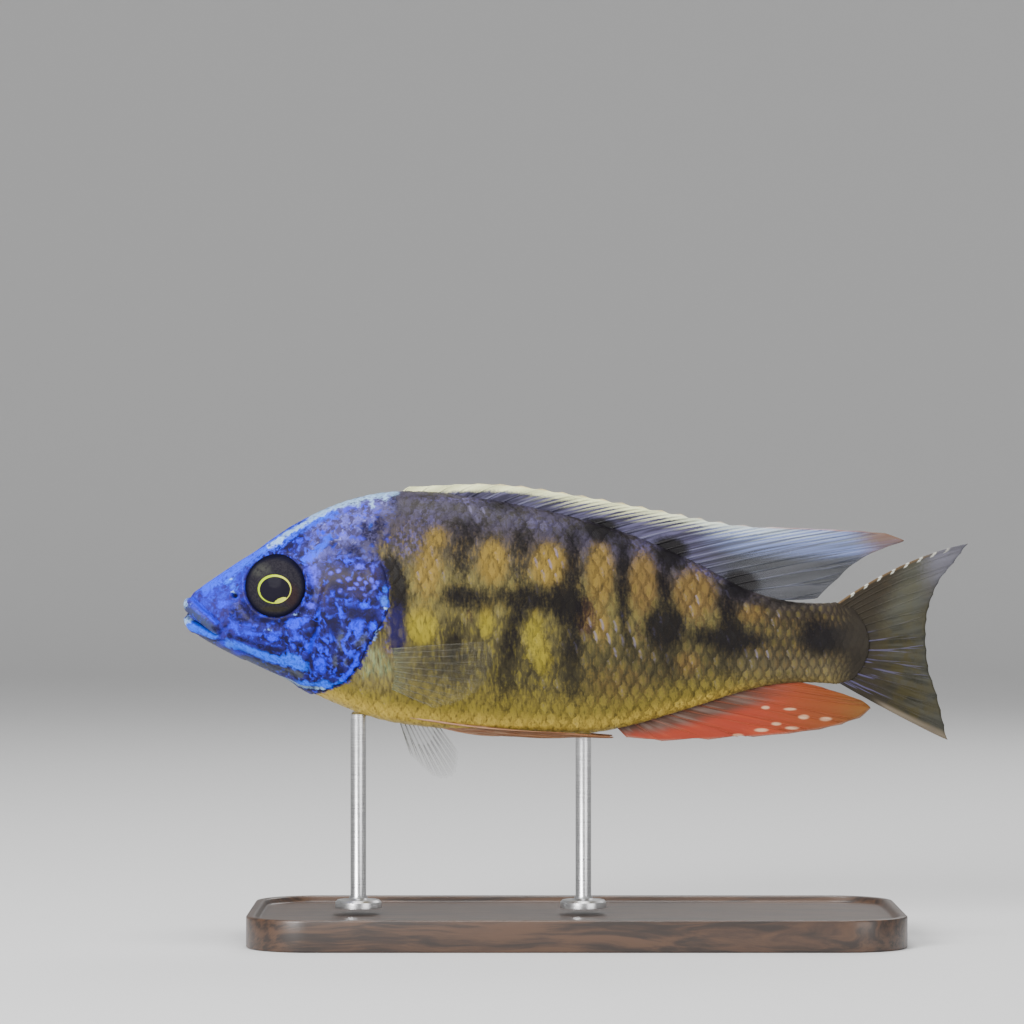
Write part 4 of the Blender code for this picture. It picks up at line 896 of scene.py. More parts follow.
# The head's marks in the order they are laid: which, in what pigment, and how ragged; the last layer is
# mostly painted highlight.
HEAD_LAYERS = (
    ("umber", UMBER, 1.4), ("dusk", DUSK, 1.6), ("olive", OLIVE_HEAD, 1.2), ("ash", ASH, 0.5),
    ("sky", SKY, 2.0), ("cobalt", COBALT, 1.3), ("azure", AZURE, 1.0), ("navy", NAVY, 1.2),
    ("turquoise", TURQUOISE, 0.6), ("periwinkle", PERIWINKLE, 0.8), ("pale_and_painted_highlight", PALE_AND_PAINTED_HIGHLIGHT, 1.9),
)
# Pigments up the flank, each from and to a share of the body's height.
FLANK_LAYERS = (
    (OLIVE_LOW, 0.08, 0.26), (OLIVE, 0.35, 0.55), (BACK_BROWN, 0.62, 0.78), (BACK_PURPLE, 0.76, 0.92),
)


def head_colour(paint, field, fine):
    """Mottle the head, duller on the nape and bluer on the snout, and lay its marks over that."""
    bent = paint.noise(paint.place, 0.45, 2.0, output="Color")
    warped = paint.vectors("ADD", paint.place, paint.stretch(bent, (2.2, 2.2, 2.2)))
    blots = paint.noise(warped, 0.62, 2.0)
    small = paint.noise(warped, 1.2, 2.0)
    mottle = paint.ease(blots * 0.55 + small * 0.3 + fine * 0.15, 0.38, 0.62)
    cover = paint.blend(NAVY, COVER_BLUE, mottle)
    cover = paint.blend(cover, COBALT, paint.ease(small, 0.51, 0.68) * 0.5)
    snout = paint.blend(SNOUT_DARK, SNOUT_BLUE, mottle)
    bluer = paint.ease(blots * 0.5 + small * 0.3 + fine * 0.2, 0.42, 0.60)
    nape = paint.blend(NAPE_DARK, NAPE_BLUE, bluer)
    nape = paint.blend(nape, PERIWINKLE, paint.ease(small, 0.55, 0.66) * 0.8)
    flecks = paint.ease(paint.noise(warped, 1.5, 2.0), 0.57, 0.70)
    nape = paint.blend(nape, FLECK, flecks * 0.7)
    colour = paint.blend(snout, cover, field["cover"])
    colour = paint.blend(colour, nape, field["nape"])
    lines = 1 - paint.ease((small - 0.5).size(), 0.004, 0.035)
    colour = paint.blend(colour, NAVY, lines * (0.45 - field["nape"] * 0.25))
    soft = 0.62 + paint.ease(fine * 0.5 + small * 0.5, 0.40, 0.54) * 0.36
    for name, pigment, ragged in HEAD_LAYERS:
        share = paint.ease(field[name] + (small - 0.5) * ragged + (fine - 0.5) * 0.5, 0.10, 0.90)
        if name in ("dusk", "pale_and_painted_highlight"):
            share = share * paint.ease(field[name], 0.02, 0.2)
        colour = paint.blend(colour, pigment, share * soft)
    return colour


def flank_colour(paint, field, fine, broad):
    """Paint the flank: purple back, olive side and mustard belly, with gold and dark blots."""
    place = paint.place
    behind = paint.behind
    z = paint.height
    height = field["height"] + (fine - 0.5) * 0.12
    low = field["height"] + (fine - 0.5) * 0.03
    colour = paint.blend(BELLY, MUSTARD, paint.ease(low, 0.02, 0.11))
    for pigment, start, end in FLANK_LAYERS:
        colour = paint.blend(colour, pigment, paint.ease(height, start, end))
    murk = paint.ease(broad * 0.7 + fine * 0.3, 0.46, 0.60) * paint.ease(height, 0.68, 0.84)
    colour = paint.blend(colour, SHADE, murk * 0.7)
    stalk = paint.blend(STALK_LOW, STALK, paint.ease(z, 51.0, 57.0))
    colour = paint.blend(colour, stalk, paint.ease(behind + fine * 8, 102.0, 120.0) * 0.85)
    chest = (1 - paint.ease(behind + fine * 6, 40.0, 52.0)) * (1 - paint.ease(z, 54.0, 60.0))
    colour = paint.blend(colour, CHEST, chest * paint.ease(height, 0.08, 0.2) * 0.8)
    warm = paint.blend(GOLD, ORANGE, paint.ease(behind + fine * 8, 74.0, 94.0))
    sunny = (1 - paint.ease(z, 60.0, 66.0)) * (1 - paint.ease(behind, 66.0, 80.0))
    warm = paint.blend(warm, YELLOW, sunny)
    colour = paint.blend(colour, warm, paint.ease(field["gold"] + (fine - 0.5) * 0.7, 0.12, 0.80))
    colour = paint.blend(colour, RUST, paint.ease(field["rust"] + (fine - 0.5) * 0.8, 0.2, 0.8) * 0.85)
    veins = paint.ease(paint.noise(place, 1.3, 2.0), 0.47, 0.60)
    colour = paint.blend(colour, LAVENDER, paint.ease(field["lilac"], 0.05, 0.9) * (0.1 + veins * 0.7))
    streaks = paint.ease(paint.noise(paint.stretch(place, (2.6, 1.0, 0.5)), 0.8, 2.0), 0.42, 0.6)
    colour = paint.blend(colour, LIME, paint.ease(field["lime"], 0.1, 0.8) * (0.25 + streaks * 0.75))
    upright = paint.noise(paint.stretch(place, (2.2, 1.0, 0.6)), 1.0, 3.0)
    colour = paint.blend(colour, SHADE, paint.ease(upright, 0.48, 0.70) * 0.55)
    sparks = (1 - paint.ease(upright, 0.36, 0.48)) * (1 - paint.ease(height, 0.75, 0.9))
    colour = paint.blend(colour, warm, sparks * 0.35)
    shade = field["dark"] + (fine - 0.5) * 0.45 + (broad - 0.5) * 0.3 + (upright - 0.5) * 0.4
    deep = paint.blend(SHADE, SOOT, paint.ease(z, 50.5, 57.0))
    colour = paint.blend(colour, deep, paint.ease(shade, 0.08, 0.90) * 0.96)
    collar = paint.ease(field["indigo"] + (fine - 0.5) * 0.9, 0.1, 0.95)
    colour = paint.blend(colour, INDIGO, collar * 0.92)
    return paint.blend(colour, TAIL_OLIVE, field["tail"])


def fish_colour(paint):
    """Lay the markings over each other, the same way for the skin and its scales."""
    fine = paint.noise(paint.place, 2.2, 3.0)
    broad = paint.noise(paint.place, 0.5, 3.0)
    names = list(MARKS) + ["blue", "height", "nape", "cover"]
    field = {name: paint.stored(name) for name in names}
    field["tail"] = paint.ease(paint.behind + (fine - 0.5) * 4, 122.5, 128.5)
    blue = head_colour(paint, field, fine)
    flank = flank_colour(paint, field, fine, broad)
    ragged = (fine - 0.5) * 0.5 + (broad - 0.5) * 1.3
    share = paint.ease(field["blue"] + ragged, 0.22, 0.78) * paint.ease(field["blue"], 0.0, 0.15)
    colour = paint.blend(flank, blue, share)
    return colour, field, fine


def skin_material():
    """The bare skin: the head's, and what shows between the scales, with painted shade in its creases and
    hollows.
    """
    paint = Paint("cichlid_skin", Specular_IOR_Level=0.06, Coat_Roughness=0.18, Coat_IOR=1.33)
    colour, _, fine = fish_colour(paint)
    crease_shade = paint.stored("crease_shade")
    # Painted shade: the creases, the mouth's slit, the nostril, the pores and the eye's opening are
    # darkened.
    colour = paint.blend(colour, PAINTED_CREASE_SHADE, crease_shade)
    pores = paint.ease(paint.cells(paint.place, 3.2), 0.0, 0.35)
    grain = paint.noise(paint.place, 6.0, 2.0)
    normal = paint.bump(grain * 0.6 + pores * 0.4, 0.3, 0.0001)
    return paint.feed(
        Base_Color=colour, Roughness=0.4 + fine * 0.2, Coat_Weight=0.08 * (1 - crease_shade), Normal=normal,
    )


def scale_material():
    """The scales: the same markings, with an upright pale streak, dark rims, painted shade on their
    covered roots, and growth rings.
    """
    paint = Paint("cichlid_scales", Specular_IOR_Level=0.06, Coat_Roughness=0.2, Coat_IOR=1.33)
    colour, field, fine = fish_colour(paint)
    along, across = paint.map("plate")
    off_middle = (across - 0.5).size() * 2
    tone = paint.stored("tone")
    reach = along + off_middle * off_middle * 0.30
    rim = paint.ease(reach + (fine - 0.5) * 0.12, 0.90, 1.0)
    root = 1 - paint.ease(reach, 0.50, 0.64)
    flank = (1 - field["blue"]) * (1 - field["tail"])
    bright = flank * (1 - paint.ease(field["dark"], 0.15, 0.6))
    patchy = paint.ease(paint.noise(paint.place, 0.25, 2.0) + paint.behind * 0.006, 0.75, 1.10)
    # Dark pigment along each scale's free rim, and painted shade on its root, where the scale in front
    # lies over it.
    dark_rim_and_root_shade = (rim * 0.40 + root * 0.22) * (0.20 + flank * (0.15 + patchy * 0.55))
    colour = paint.blend(colour, SOOT, dark_rim_and_root_shade)
    streak = paint.ease(reach, 0.62, 0.72) * (1 - paint.ease(reach, 0.80, 0.92))
    streak = streak * (1 - paint.ease(off_middle, 0.15, 0.6))
    leaning = reach - (across - 0.5) * 0.35
    fleck = paint.ease(leaning, 0.65, 0.71) * (1 - paint.ease(leaning, 0.74, 0.82))
    fleck = fleck * (1 - paint.ease(off_middle, 0.3, 0.85))
    speck = fleck * paint.ease(field["specks"] * 0.8 + tone * 0.6 + (fine - 0.5) * 0.9, 0.45, 1.0)
    colour = paint.blend(colour, SPECK, speck * 0.55 * (flank * 0.3 + bright * 0.7))
    glow = streak * bright * (0.04 + tone * 0.14) * (1 - paint.ease(paint.height, 66.0, 72.0))
    colour = paint.blend(colour, YELLOW, glow)
    colour = paint.blend(colour, SOOT, (1 - tone) * 0.22)
    rings = ((along - along * off_middle * 0.25) * 95.0).wave()
    spokes = (across * 60.0).wave() * paint.ease(along, 0.6, 0.95)
    normal = paint.bump(rings * 0.3 + spokes * 0.4 + fine, 0.25, 0.00005)
    return paint.feed(
        Base_Color=colour, Roughness=0.38 + tone * 0.16, Coat_Weight=0.03 + tone * 0.09, Normal=normal,
    )


def skin_stations():
    """Give the places behind the snout of the skin's rings: fine on the head, wider behind."""
    turns = np.linspace(0.0, math.pi / 2, NOSE_STATIONS)
    nose = NOSE_START + NOSE_ROUND * (1 - np.cos(turns))
    head = np.arange(nose[-1] + HEAD_STEP, HEAD_END, HEAD_STEP)
    trunk = np.arange(head[-1] + TRUNK_STEP, SKIN_LENGTH, TRUNK_STEP)
    return np.concatenate([nose, head, trunk, [SKIN_LENGTH]])


def fish_skin(skin):
    """Make the one skin of head, gill covers, trunk and tail stalk."""
    stations = skin_stations()
    half = half_sections(stations, SKIN_SHARES)[0]
    rings = np.concatenate([half * (1, -1, 1), half[:, -2::-1]], axis=1)
    rings = np.concatenate([rings, rings[-1:] * (1, 0, 1)])
    down = np.arange(SKIN_SHARES) / (SKIN_SHARES - 1)
    share = np.broadcast_to(np.concatenate([down, down[-2::-1]]), rings.shape[:2])
    side = np.where(np.arange(rings.shape[1]) < SKIN_SHARES, -1.0, 1.0)
    along, height = rings[:, :, 0], rings[:, :, 2]
    outward = skin.place(along, share, np.broadcast_to(side, rings.shape[:2]))[1]
    ahead = 1 - ease(along, NOSE_START, NOSE_START + 0.02)[..., None]
    outward = outward * (1 - ahead) + np.array((-1.0, 0.0, 0.0)) * ahead
    raised, crease_shade = relief(along, height)
    lift = raised - coat_depth(along, height)
    lift[-1] = 0.0
    points = rings + outward * lift[..., None]
    points[..., 0] -= end_pull(along, height)

    piece, column, row = grid_piece("fish_skin", len(rings) - 1, rings.shape[1] - 1)
    piece.data.uv_layers[0].name = "skin"
    move_points(piece, metres(points[column, row]))
    for name, values in markings(along, height).items():
        store(piece, name, values[column, row])
    store(piece, "crease_shade", crease_shade[column, row])

    def close():
        bpy.ops.mesh.remove_doubles(threshold=0.0005 * MM)
        bpy.ops.mesh.normals_make_consistent(inside=False)

    in_edit_mode(piece, close)
    nodes = ("head", "lower_jaw", "gill_cover_left", "gill_cover_right", "trunk", "tail_stalk")
    finish(piece, "head_skin", skin_material(), nodes)


def one_scale():
    """Model one scale: a shield from its root to its rounded free edge, and close it."""
    piece, column, row = grid_piece("one_scale", len(SCALE_STEPS) - 1, SCALE_ROWS)
    along = np.array(SCALE_STEPS)[column]
    across = row * 2 / SCALE_ROWS - 1.0
    edge = 1.0 - 0.38 * np.abs(across) ** 1.9
    root = 0.16 * across ** 2
    length = root + (edge - root) * along
    width = across * (0.80 + 0.20 * np.sin(math.pi * np.clip(along * 0.9, 0, 1)))
    dome = 1.0 - 0.16 * across ** 2
    points = np.stack([length, width, along * dome], axis=1)
    move_points(piece, points)
    shell = piece.modifiers.new("thickness", "SOLIDIFY")
    shell.thickness = SCALE_SHELL
    shell.offset = -1.0
    apply_all(piece)
    spots = stored_points(piece)
    faces = [tuple(face.vertices) for face in piece.data.polygons]
    bpy.data.objects.remove(piece)
    return spots, faces


def scale_roots(skin, side):
    """Lay out staggered rows of scales on one side, and give their places and sizes."""
    roots = []
    for number in range(FIRST_ROW, LAST_ROW + 1):
        x = LAST_COLUMN
        if number % 2:
            x -= smooth(COLUMN_SPACING, x) / 2
        while x > 12.0:
            step = float(smooth(COLUMN_SPACING, x))
            pitch = float(smooth(ROW_SPACING, x))
            arc = float(np.interp(x, skin.xs, skin.arcs))
            middle = float(np.interp(x, skin.xs, skin.middles))
            share = (middle + number * pitch) / arc
            if -0.01 < share < 1.01:
                roots.append((x, share, step, pitch, arc))
            x -= step
    roots = np.array(roots)
    spots = skin.place(roots[:, 0], roots[:, 1], np.full(len(roots), side))[0]
    wanted = scaled(spots[:, 0] + 0.8 * roots[:, 2], spots[:, 2]) > 0.5
    return roots[wanted]


def laid_scales(skin, side, roots, pattern, chance):
    """Lay a scale on each root, a little turned and sized by chance.

    The points are given twice: on the body's outer surface, and as they lie in the coat.
    """
    size = 1 + SIZE_CHANCE * (chance.random(len(roots))[:, None] - 0.5)
    turn = np.radians(TURN_CHANCE) * (chance.random(len(roots))[:, None] - 0.5)
    x, share, step, pitch, arc = (roots[:, number][:, None] for number in range(5))
    along = pattern[None, :, 0] * PLATE_LENGTH * step * size
    across = pattern[None, :, 1] * PLATE_WIDTH * pitch * size
    place_x = x - 0.55 * step + along * np.cos(turn) - across * np.sin(turn)
    across = along * np.sin(turn) + across * np.cos(turn)
    local_arc = np.interp(place_x, skin.xs, skin.arcs)
    middle_here = np.interp(place_x, skin.xs, skin.middles)
    middle_root = np.interp(x, skin.xs, skin.middles)
    place_share = (share * arc - middle_root + middle_here + across) / local_arc
    spots, outward = skin.place(place_x, place_share, np.full(place_x.shape, side))
    rise = pattern[None, :, 2] * (COAT_DEPTH - 0.04) * np.clip(pitch / 2.6, 0.45, 1.0)
    lift = SCALE_LIFT + rise - coat_depth(spots[..., 0], spots[..., 2])
    spots[..., 0] -= end_pull(spots[..., 0], spots[..., 2])
    return spots, spots + outward * lift[..., None]


def scale_coat(skin, side, name, shape, material, seed):
    """Make one side's coat of scales as one joined mesh."""
    pattern, faces = shape
    roots = scale_roots(skin, side)
    chance = np.random.default_rng(seed)
    tone = chance.random(len(roots))
    spots, points = laid_scales(skin, side, roots, pattern, chance)
    mesh = bpy.data.meshes.new(name)
    firsts = range(0, points.shape[0] * len(pattern), len(pattern))
    all_faces = [tuple(first + corner for corner in face) for first in firsts for face in faces]
    mesh.from_pydata(metres(points.reshape(-1, 3)).tolist(), [], all_faces)
    piece = add_object(name, mesh)

    centre = spots.mean(axis=1, keepdims=True)
    look = spots * 0.9 + centre * 0.1
    for field, values in markings(look[..., 0], look[..., 2]).items():
        store(piece, field, values.ravel())
    store(piece, "tone", np.repeat(tone, len(pattern)))
    scale_maps(mesh, pattern, roots)
    in_edit_mode(piece, lambda: bpy.ops.mesh.normals_make_consistent(inside=False))
    finish(piece, "flank_skin", material, smooth_angle=50)


def scale_maps(mesh, pattern, roots):
    """Map each scale over itself, and as a small patch at its root's place on the unwrapped skin."""
    corners = np.empty(len(mesh.loops), dtype=np.int32)
    mesh.loops.foreach_get("vertex_index", corners)
    plate = np.stack([pattern[:, 0], pattern[:, 1] * 0.5 + 0.5], axis=1)[corners % len(pattern)]
    write_map(mesh, "plate", plate)
    unwrapped = np.stack([roots[:, 0] / TOTAL_LENGTH, np.clip(roots[:, 1], 0, 1)], axis=1)
    roots_on_map = (0.02 + 0.96 * unwrapped)[corners // len(pattern)]
    write_map(mesh, "OFBake", roots_on_map + (plate - 0.5) * PATCH)


def write_map(mesh, name, places):
    """Give a mesh a map from these places, one for each corner of its faces."""
    layer = mesh.uv_layers.new(name=name)
    layer.data.foreach_set("uv", np.ascontiguousarray(places, dtype=np.float32).ravel())


def flank_slope(skin, x, z):
    """Give how far out the body stands at a side-view place."""
    row = int(round((x - skin.xs[0]) / (skin.xs[1] - skin.xs[0])))
    section = skin.points[row]
    return float(np.interp(-z, -section[:, 2], section[:, 1]))


def dorsal_point(u, v):
    """Give the folded dorsal fin's place at ray u, a share v of the way to its tip."""
    foot = smooth(DORSAL_FOOT, u)
    root = np.stack([foot, np.zeros_like(foot), smooth(BACK_LINE, foot) - FIN_SINK], axis=-1)
    tip = np.stack([smooth(DORSAL_TIP_X, u), np.zeros_like(foot), smooth(DORSAL_TIP_Z, u)], axis=-1)
    return bowed(root, tip, v, smooth(DORSAL_BOW, u)[..., None], (0, 0, 1))


def anal_point(u, v):
    """Give the folded anal fin's place."""
    foot = smooth(ANAL_FOOT, u)
    root = np.stack([foot, np.zeros_like(foot), smooth(BELLY_LINE, foot) + FIN_SINK], axis=-1)
    tip = np.stack([smooth(ANAL_TIP_X, u), np.zeros_like(foot), smooth(ANAL_TIP_Z, u)], axis=-1)
    return bowed(root, tip, v, 0.0, (0, 0, 1))


def caudal_point(u, v):
    """Give the tail fin's place."""
    zero = np.zeros_like(u)
    root = np.stack([zero + CAUDAL_FOOT_X, zero, smooth(CAUDAL_FOOT_Z, u)], axis=-1)
    tip = np.stack([smooth(CAUDAL_TIP_X, u), zero, smooth(CAUDAL_TIP_Z, u)], axis=-1)
    return bowed(root, tip, v, smooth(CAUDAL_BOW, u)[..., None], (0, 0, 1))


def pectoral_points(skin, side, tip_x, tip_z, splay):
    """Give the function of one pectoral fin's places."""
    root_y = flank_slope(skin, *PECTORAL_ROOT_TOP)

    def point(u, v):
        share = u / (PECTORAL_RAYS - 1)
        x = PECTORAL_ROOT_TOP[0] + (PECTORAL_ROOT_LOW[0] - PECTORAL_ROOT_TOP[0]) * share
        z = PECTORAL_ROOT_TOP[1] + (PECTORAL_ROOT_LOW[1] - PECTORAL_ROOT_TOP[1]) * share
        stand = np.vectorize(lambda a, b: flank_slope(skin, a, b))(x, z)
        root = np.stack([x, side * (stand - FIN_SINK), z], axis=-1)
        reach = np.hypot(smooth(tip_x, u) - x, smooth(tip_z, u) - z)
        out = side * (root_y + smooth(splay, u) * reach)
        tip = np.stack([smooth(tip_x, u), out, smooth(tip_z, u)], axis=-1)
        return bowed(root, tip, v, PECTORAL_BOW, (0, side, 0))

    return point


def pelvic_points(side):
    """Give the function of one pelvic fin's places."""

    def point(u, v):
        share = (u / (PELVIC_RAYS - 1))[..., None]
        root = np.array(PELVIC_ROOT_OUTER) * (1 - share) + np.array(PELVIC_ROOT_INNER) * share
        tip = np.stack([smooth(line, u) for line in (PELVIC_TIP_X, PELVIC_TIP_Y, PELVIC_TIP_Z)], axis=-1)
        return bowed(root, tip, v, PELVIC_BOW, (0, 0, 1)) * (1, side, 1)

    return point


def bowed(root, tip, v, bow, aside):
    """Go a share v of the way along bowed rays."""
    v = np.asarray(v)[..., None]
    return root + (tip - root) * v + np.array(aside) * bow * 4 * v * (1 - v)


def fin_membrane(name, point, rays, spines, notch, pleat, facing, thickness):
    """Make a fin's skin: pleated between its rays, with its edge cut back between them."""
    piece, column, row = grid_piece(name, (rays - 1) * COLUMNS_PER_GAP, MEMBRANE_ROWS)
    u = column / COLUMNS_PER_GAP
    gap = u - np.floor(u)
    number = np.floor(u)
    saw = np.where(gap < NOTCH_PEAK, gap / NOTCH_PEAK, (1 - gap) / (1 - NOTCH_PEAK))
    scallop = np.sin(math.pi * gap)
    edge = 1.0 - np.where(number < spines, notch[0] * saw, notch[1] * scallop)
    reach = row / MEMBRANE_ROWS
    v = reach * edge
    places = point(u, v)
    store(piece, "ray", u)
    store(piece, "reach", reach)
    fold = np.where(number % 2 == 0, 1.0, -1.0) * np.sin(math.pi * gap) * pleat * ease(v, 0.15, 0.6)
    places = places + np.array(facing) * fold[:, None]
    move_points(piece, metres(places))
    piece.data.uv_layers[0].name = "fin"
    skin_thickness = piece.modifiers.new("thickness", "SOLIDIFY")
    skin_thickness.thickness = thickness * MM
    skin_thickness.offset = 0.0
    apply_all(piece)
    dress_fin(piece)
    return piece


def fin_edge(tip_x, tip_z, count):
    """Give a fin's long outer edge as (behind the snout, height), from its first tips."""
    return [(x[1], z[1]) for x, z in zip(tip_x[:count], tip_z[:count])]


def dress_fin(piece):
    """Keep what the fin materials read: how far in from the fins' outer edges a point lies."""
    spots = points_of(piece)
    x = spots[:, 0]
    z = spots[:, 2]
    store(piece, "under_top", smooth(fin_edge(DORSAL_TIP_X, DORSAL_TIP_Z, DORSAL_EDGE), x) - z)
    store(piece, "over_bottom", z - smooth(fin_edge(ANAL_TIP_X, ANAL_TIP_Z, ANAL_EDGE), x))


def nearest_line(piece, lines):
    """Find the line and the share along it that each point of a piece lies nearest to."""
    tree = KDTree(sum(len(line[0]) for line in lines))
    keys = []
    for places, _, u, v in lines:
        for place, ray, reach in zip(places, u, v):
            tree.insert(place, len(keys))
            keys.append((ray, reach))
    tree.balance()
    found = [tree.find(spot)[1] for spot in points_of(piece)]
    return np.array(keys)[found]


def fin_strands(name, lines):
    """Make rays or spines as tapered strands along lines of (places, radii, rays, shares)."""
    curve = bpy.data.curves.new(name, "CURVE")
    curve.dimensions = "3D"
    curve.bevel_depth = MM
    curve.bevel_resolution = 1
    curve.use_fill_caps = True
    for places, radii, _, _ in lines:
        spline = curve.splines.new("POLY")
        spline.points.add(len(places) - 1)
        for spot, place, radius in zip(spline.points, metres(places), radii):
            spot.co = (*place, 1.0)
            spot.radius = radius
    piece = add_object(name, curve)
    take(piece)
    bpy.ops.object.convert(target="MESH")
    in_edit_mode(piece, lambda: bpy.ops.mesh.remove_doubles(threshold=0.001 * MM))
    along = nearest_line(piece, lines)
    store(piece, "ray", along[:, 0])
    store(piece, "reach", along[:, 1])
    dress_fin(piece)
    return piece


def ray_lines(point, rays, spines, thick, thin):
    """Give the strands of a fin: spines stay whole, soft rays branch twice."""
    lines = []
    for number in range(spines):
        v = np.linspace(0.0, 1.0, SPINE_POINTS)
        u = np.full(SPINE_POINTS, float(number))
        lines.append((point(u, v), thick * 1.25 - (thick * 1.25 - thin * 0.6) * v, u, v))
    for number in range(spines, rays):
        for low, high, steps, branches in RAY_STAGES:
            for first, second in branches:
                v = np.linspace(low, high, steps)
                spread = first * FIRST_SPREAD * ease(v, 0.42, 0.95)
                spread = spread + second * SECOND_SPREAD * ease(v, 0.68, 1.0)
                u = np.clip(number + spread, 0, rays - 1)
                slim = 1 - 0.45 * ease(v, high - 0.1, high) - 0.3 * (1 - ease(v, low, low + 0.08))
                lines.append((point(u, v), (thick - (thick - thin) * np.sqrt(v)) * slim, u, v))
    return lines


def oval(paint, spot_x, spot_z, half_length, half_height, lean=0.0):
    """Give the squared distance from an oval spot's middle, 1 on its edge."""
    across = (paint.behind - spot_x) / half_length
    up = (paint.height - spot_z + across * lean) / half_height
    return across * across + up * up


def fin_places(paint, along, across):
    """Give the ray, the share along it, and a noise drawn out along the rays."""
    ray = paint.stored("ray")
    reach = paint.stored("reach")
    spot = paint.node("ShaderNodeCombineXYZ", {}, {0: ray * across, 1: reach * along})
    return ray, reach, paint.noise(spot, 1.0, 2.0)


# Spots on the fins as (behind the snout, height, half length, half height).
DORSAL_BLOTS = [(79.8, 79.0, 3.4, 1.4), (93.2, 74.6, 3.5, 2.3), (106.8, 68.2, 3.5, 2.2)]


def dorsal_material(name, rays):
    """Purple grey with a cream margin in front, streaked blue behind, orange at its tip."""
    paint = Paint(name, Specular_IOR_Level=0.15, Coat_Weight=0.1, Coat_Roughness=0.25)
    under = paint.stored("under_top")
    ray, _, streak = fin_places(paint, 1.6, 2.4)
    fine = paint.noise(paint.place, 2.4, 2.0)
    behind = paint.behind
    lower = paint.blend((0.028, 0.025, 0.046), (0.072, 0.066, 0.125), paint.ease(streak, 0.40, 0.62))
    soft = paint.blend((0.075, 0.085, 0.135), (0.155, 0.20, 0.40), paint.ease(streak, 0.38, 0.60))
    grey = paint.blend((0.032, 0.034, 0.040), (0.052, 0.053, 0.064), paint.ease(streak, 0.35, 0.65))
    soft = paint.blend(soft, grey, paint.ease(under, 3.6, 6.8))
    colour = paint.blend(lower, soft, paint.ease(behind, 96.0, 108.0))
    cream = paint.blend((0.70, 0.72, 0.40), (0.42, 0.50, 0.56), paint.ease(behind, 84.0, 114.0))
    strokes = paint.ease((ray * 12.566 + fine * 1.5).wave() + (streak - 0.5) * 1.5, -0.5, 0.6)
    far = 2.6 + strokes * 1.2
    strokes = strokes * (1 - paint.ease(under, 1.2, far)) * paint.ease(behind, 62.0, 80.0)
    strokes = strokes * (1 - paint.ease(behind, 112.0, 128.0) * 0.7)
    colour = paint.blend(colour, cream, strokes * 0.75)
    margin = 1 - paint.ease(under + (fine - 0.5) * 0.6 + (streak - 0.5) * 0.8, 0.95, 1.75)
    gaps = 1 - paint.ease(behind, 60.0, 80.0) * (1 - strokes) * paint.ease(under, 0.3, 0.9) * 0.55
    colour = paint.blend(colour, cream, margin * gaps * (1 - paint.ease(behind, 104.0, 122.0)))
    rim = 1 - paint.ease(under, 0.1, 0.40)
    colour = paint.blend(colour, (0.34, 0.15, 0.05), rim * paint.ease(behind, 52.0, 64.0) * 0.5)
    tip = paint.ease(behind + (fine - 0.5) * 3.0 - under * 0.6, 125.0, 133.0)
    colour = paint.blend(colour, (0.125, 0.070, 0.044), tip * 0.85)
    if rays:
        colour = paint.blend(colour, (0.14, 0.15, 0.20), 0.22 * paint.ease(streak, 0.3, 0.6))
    for blot in DORSAL_BLOTS:
        away = oval(paint, *blot, lean=0.5) + (fine - 0.5) * 0.8
        colour = paint.blend(colour, SOOT, 1 - paint.ease(away, 0.4, 1.6))
    if rays:
        return paint.feed(Base_Color=colour, Roughness=0.4)
    clear = 0.96 - paint.ease(behind, 98.0, 116.0) * paint.ease(under, 1.0, 6.0) * 0.34
    normal = paint.bump(streak, 0.3, 0.0001)
    return paint.feed(Base_Color=colour, Roughness=0.45, Alpha=clear, Normal=normal)


EGG_SPOTS = [
    (111.3, 44.2, 0.85, 0.36), (116.0, 43.9, 1.3, 0.28), (118.6, 42.4, 1.1, 0.46),
    (122.8, 42.0, 1.25, 0.42), (113.4, 41.1, 1.0, 0.36), (116.4, 40.3, 1.4, 0.34),
    (110.5, 39.9, 1.4, 0.38), (106.0, 38.9, 1.1, 0.36),
]


def anal_material(name, rays):
    """Plum by the body, red to orange outside, with pale egg spots."""
    paint = Paint(name, Specular_IOR_Level=0.15, Coat_Weight=0.1, Coat_Roughness=0.25)
    behind = paint.behind
    above = paint.stored("over_bottom")
    _, _, streak = fin_places(paint, 1.5, 2.6)
    fine = paint.noise(paint.place, 2.4, 2.0)
    rear = paint.ease(behind + fine * 6, 108.0, 128.0)
    red = paint.blend((0.25, 0.032, 0.015), (0.175, 0.043, 0.011), rear)
    red = paint.blend(red, (0.14, 0.055, 0.012), paint.ease(behind + fine * 3, 124.0, 132.0))
    bright = paint.ease(streak, 0.52, 0.66) * (1 - paint.ease(behind, 110.0, 122.0))
    red = paint.blend(red, (0.29, 0.042, 0.016), bright)
    plum = paint.blend((0.056, 0.030, 0.020), (0.105, 0.076, 0.062), paint.ease(streak, 0.42, 0.65))
    inner = paint.ease(above + (streak - 0.5) * 1.6 - (behind - 91.0) * 0.22, 0.8, 3.2)
    inner = inner * (1 - paint.ease(behind + fine * 5, 108.0, 122.0))
    colour = paint.blend(red, plum, inner * 0.95)
    edge = 1 - paint.ease(above, 0.1, 0.6)
    colour = paint.blend(colour, (0.30, 0.17, 0.12), edge * 0.45)
    for spot in EGG_SPOTS:
        inside = 1 - paint.ease(oval(paint, *spot), 0.1, 1.4)
        colour = paint.blend(colour, (0.50, 0.32, 0.20), inside * 0.85)
    if rays:
        colour = paint.blend(colour, (0.22, 0.06, 0.03), 0.3)
        return paint.feed(Base_Color=colour, Roughness=0.4)
    normal = paint.bump(streak, 0.3, 0.0001)
    return paint.feed(Base_Color=colour, Roughness=0.45, Alpha=0.97 - edge * 0.25, Normal=normal)


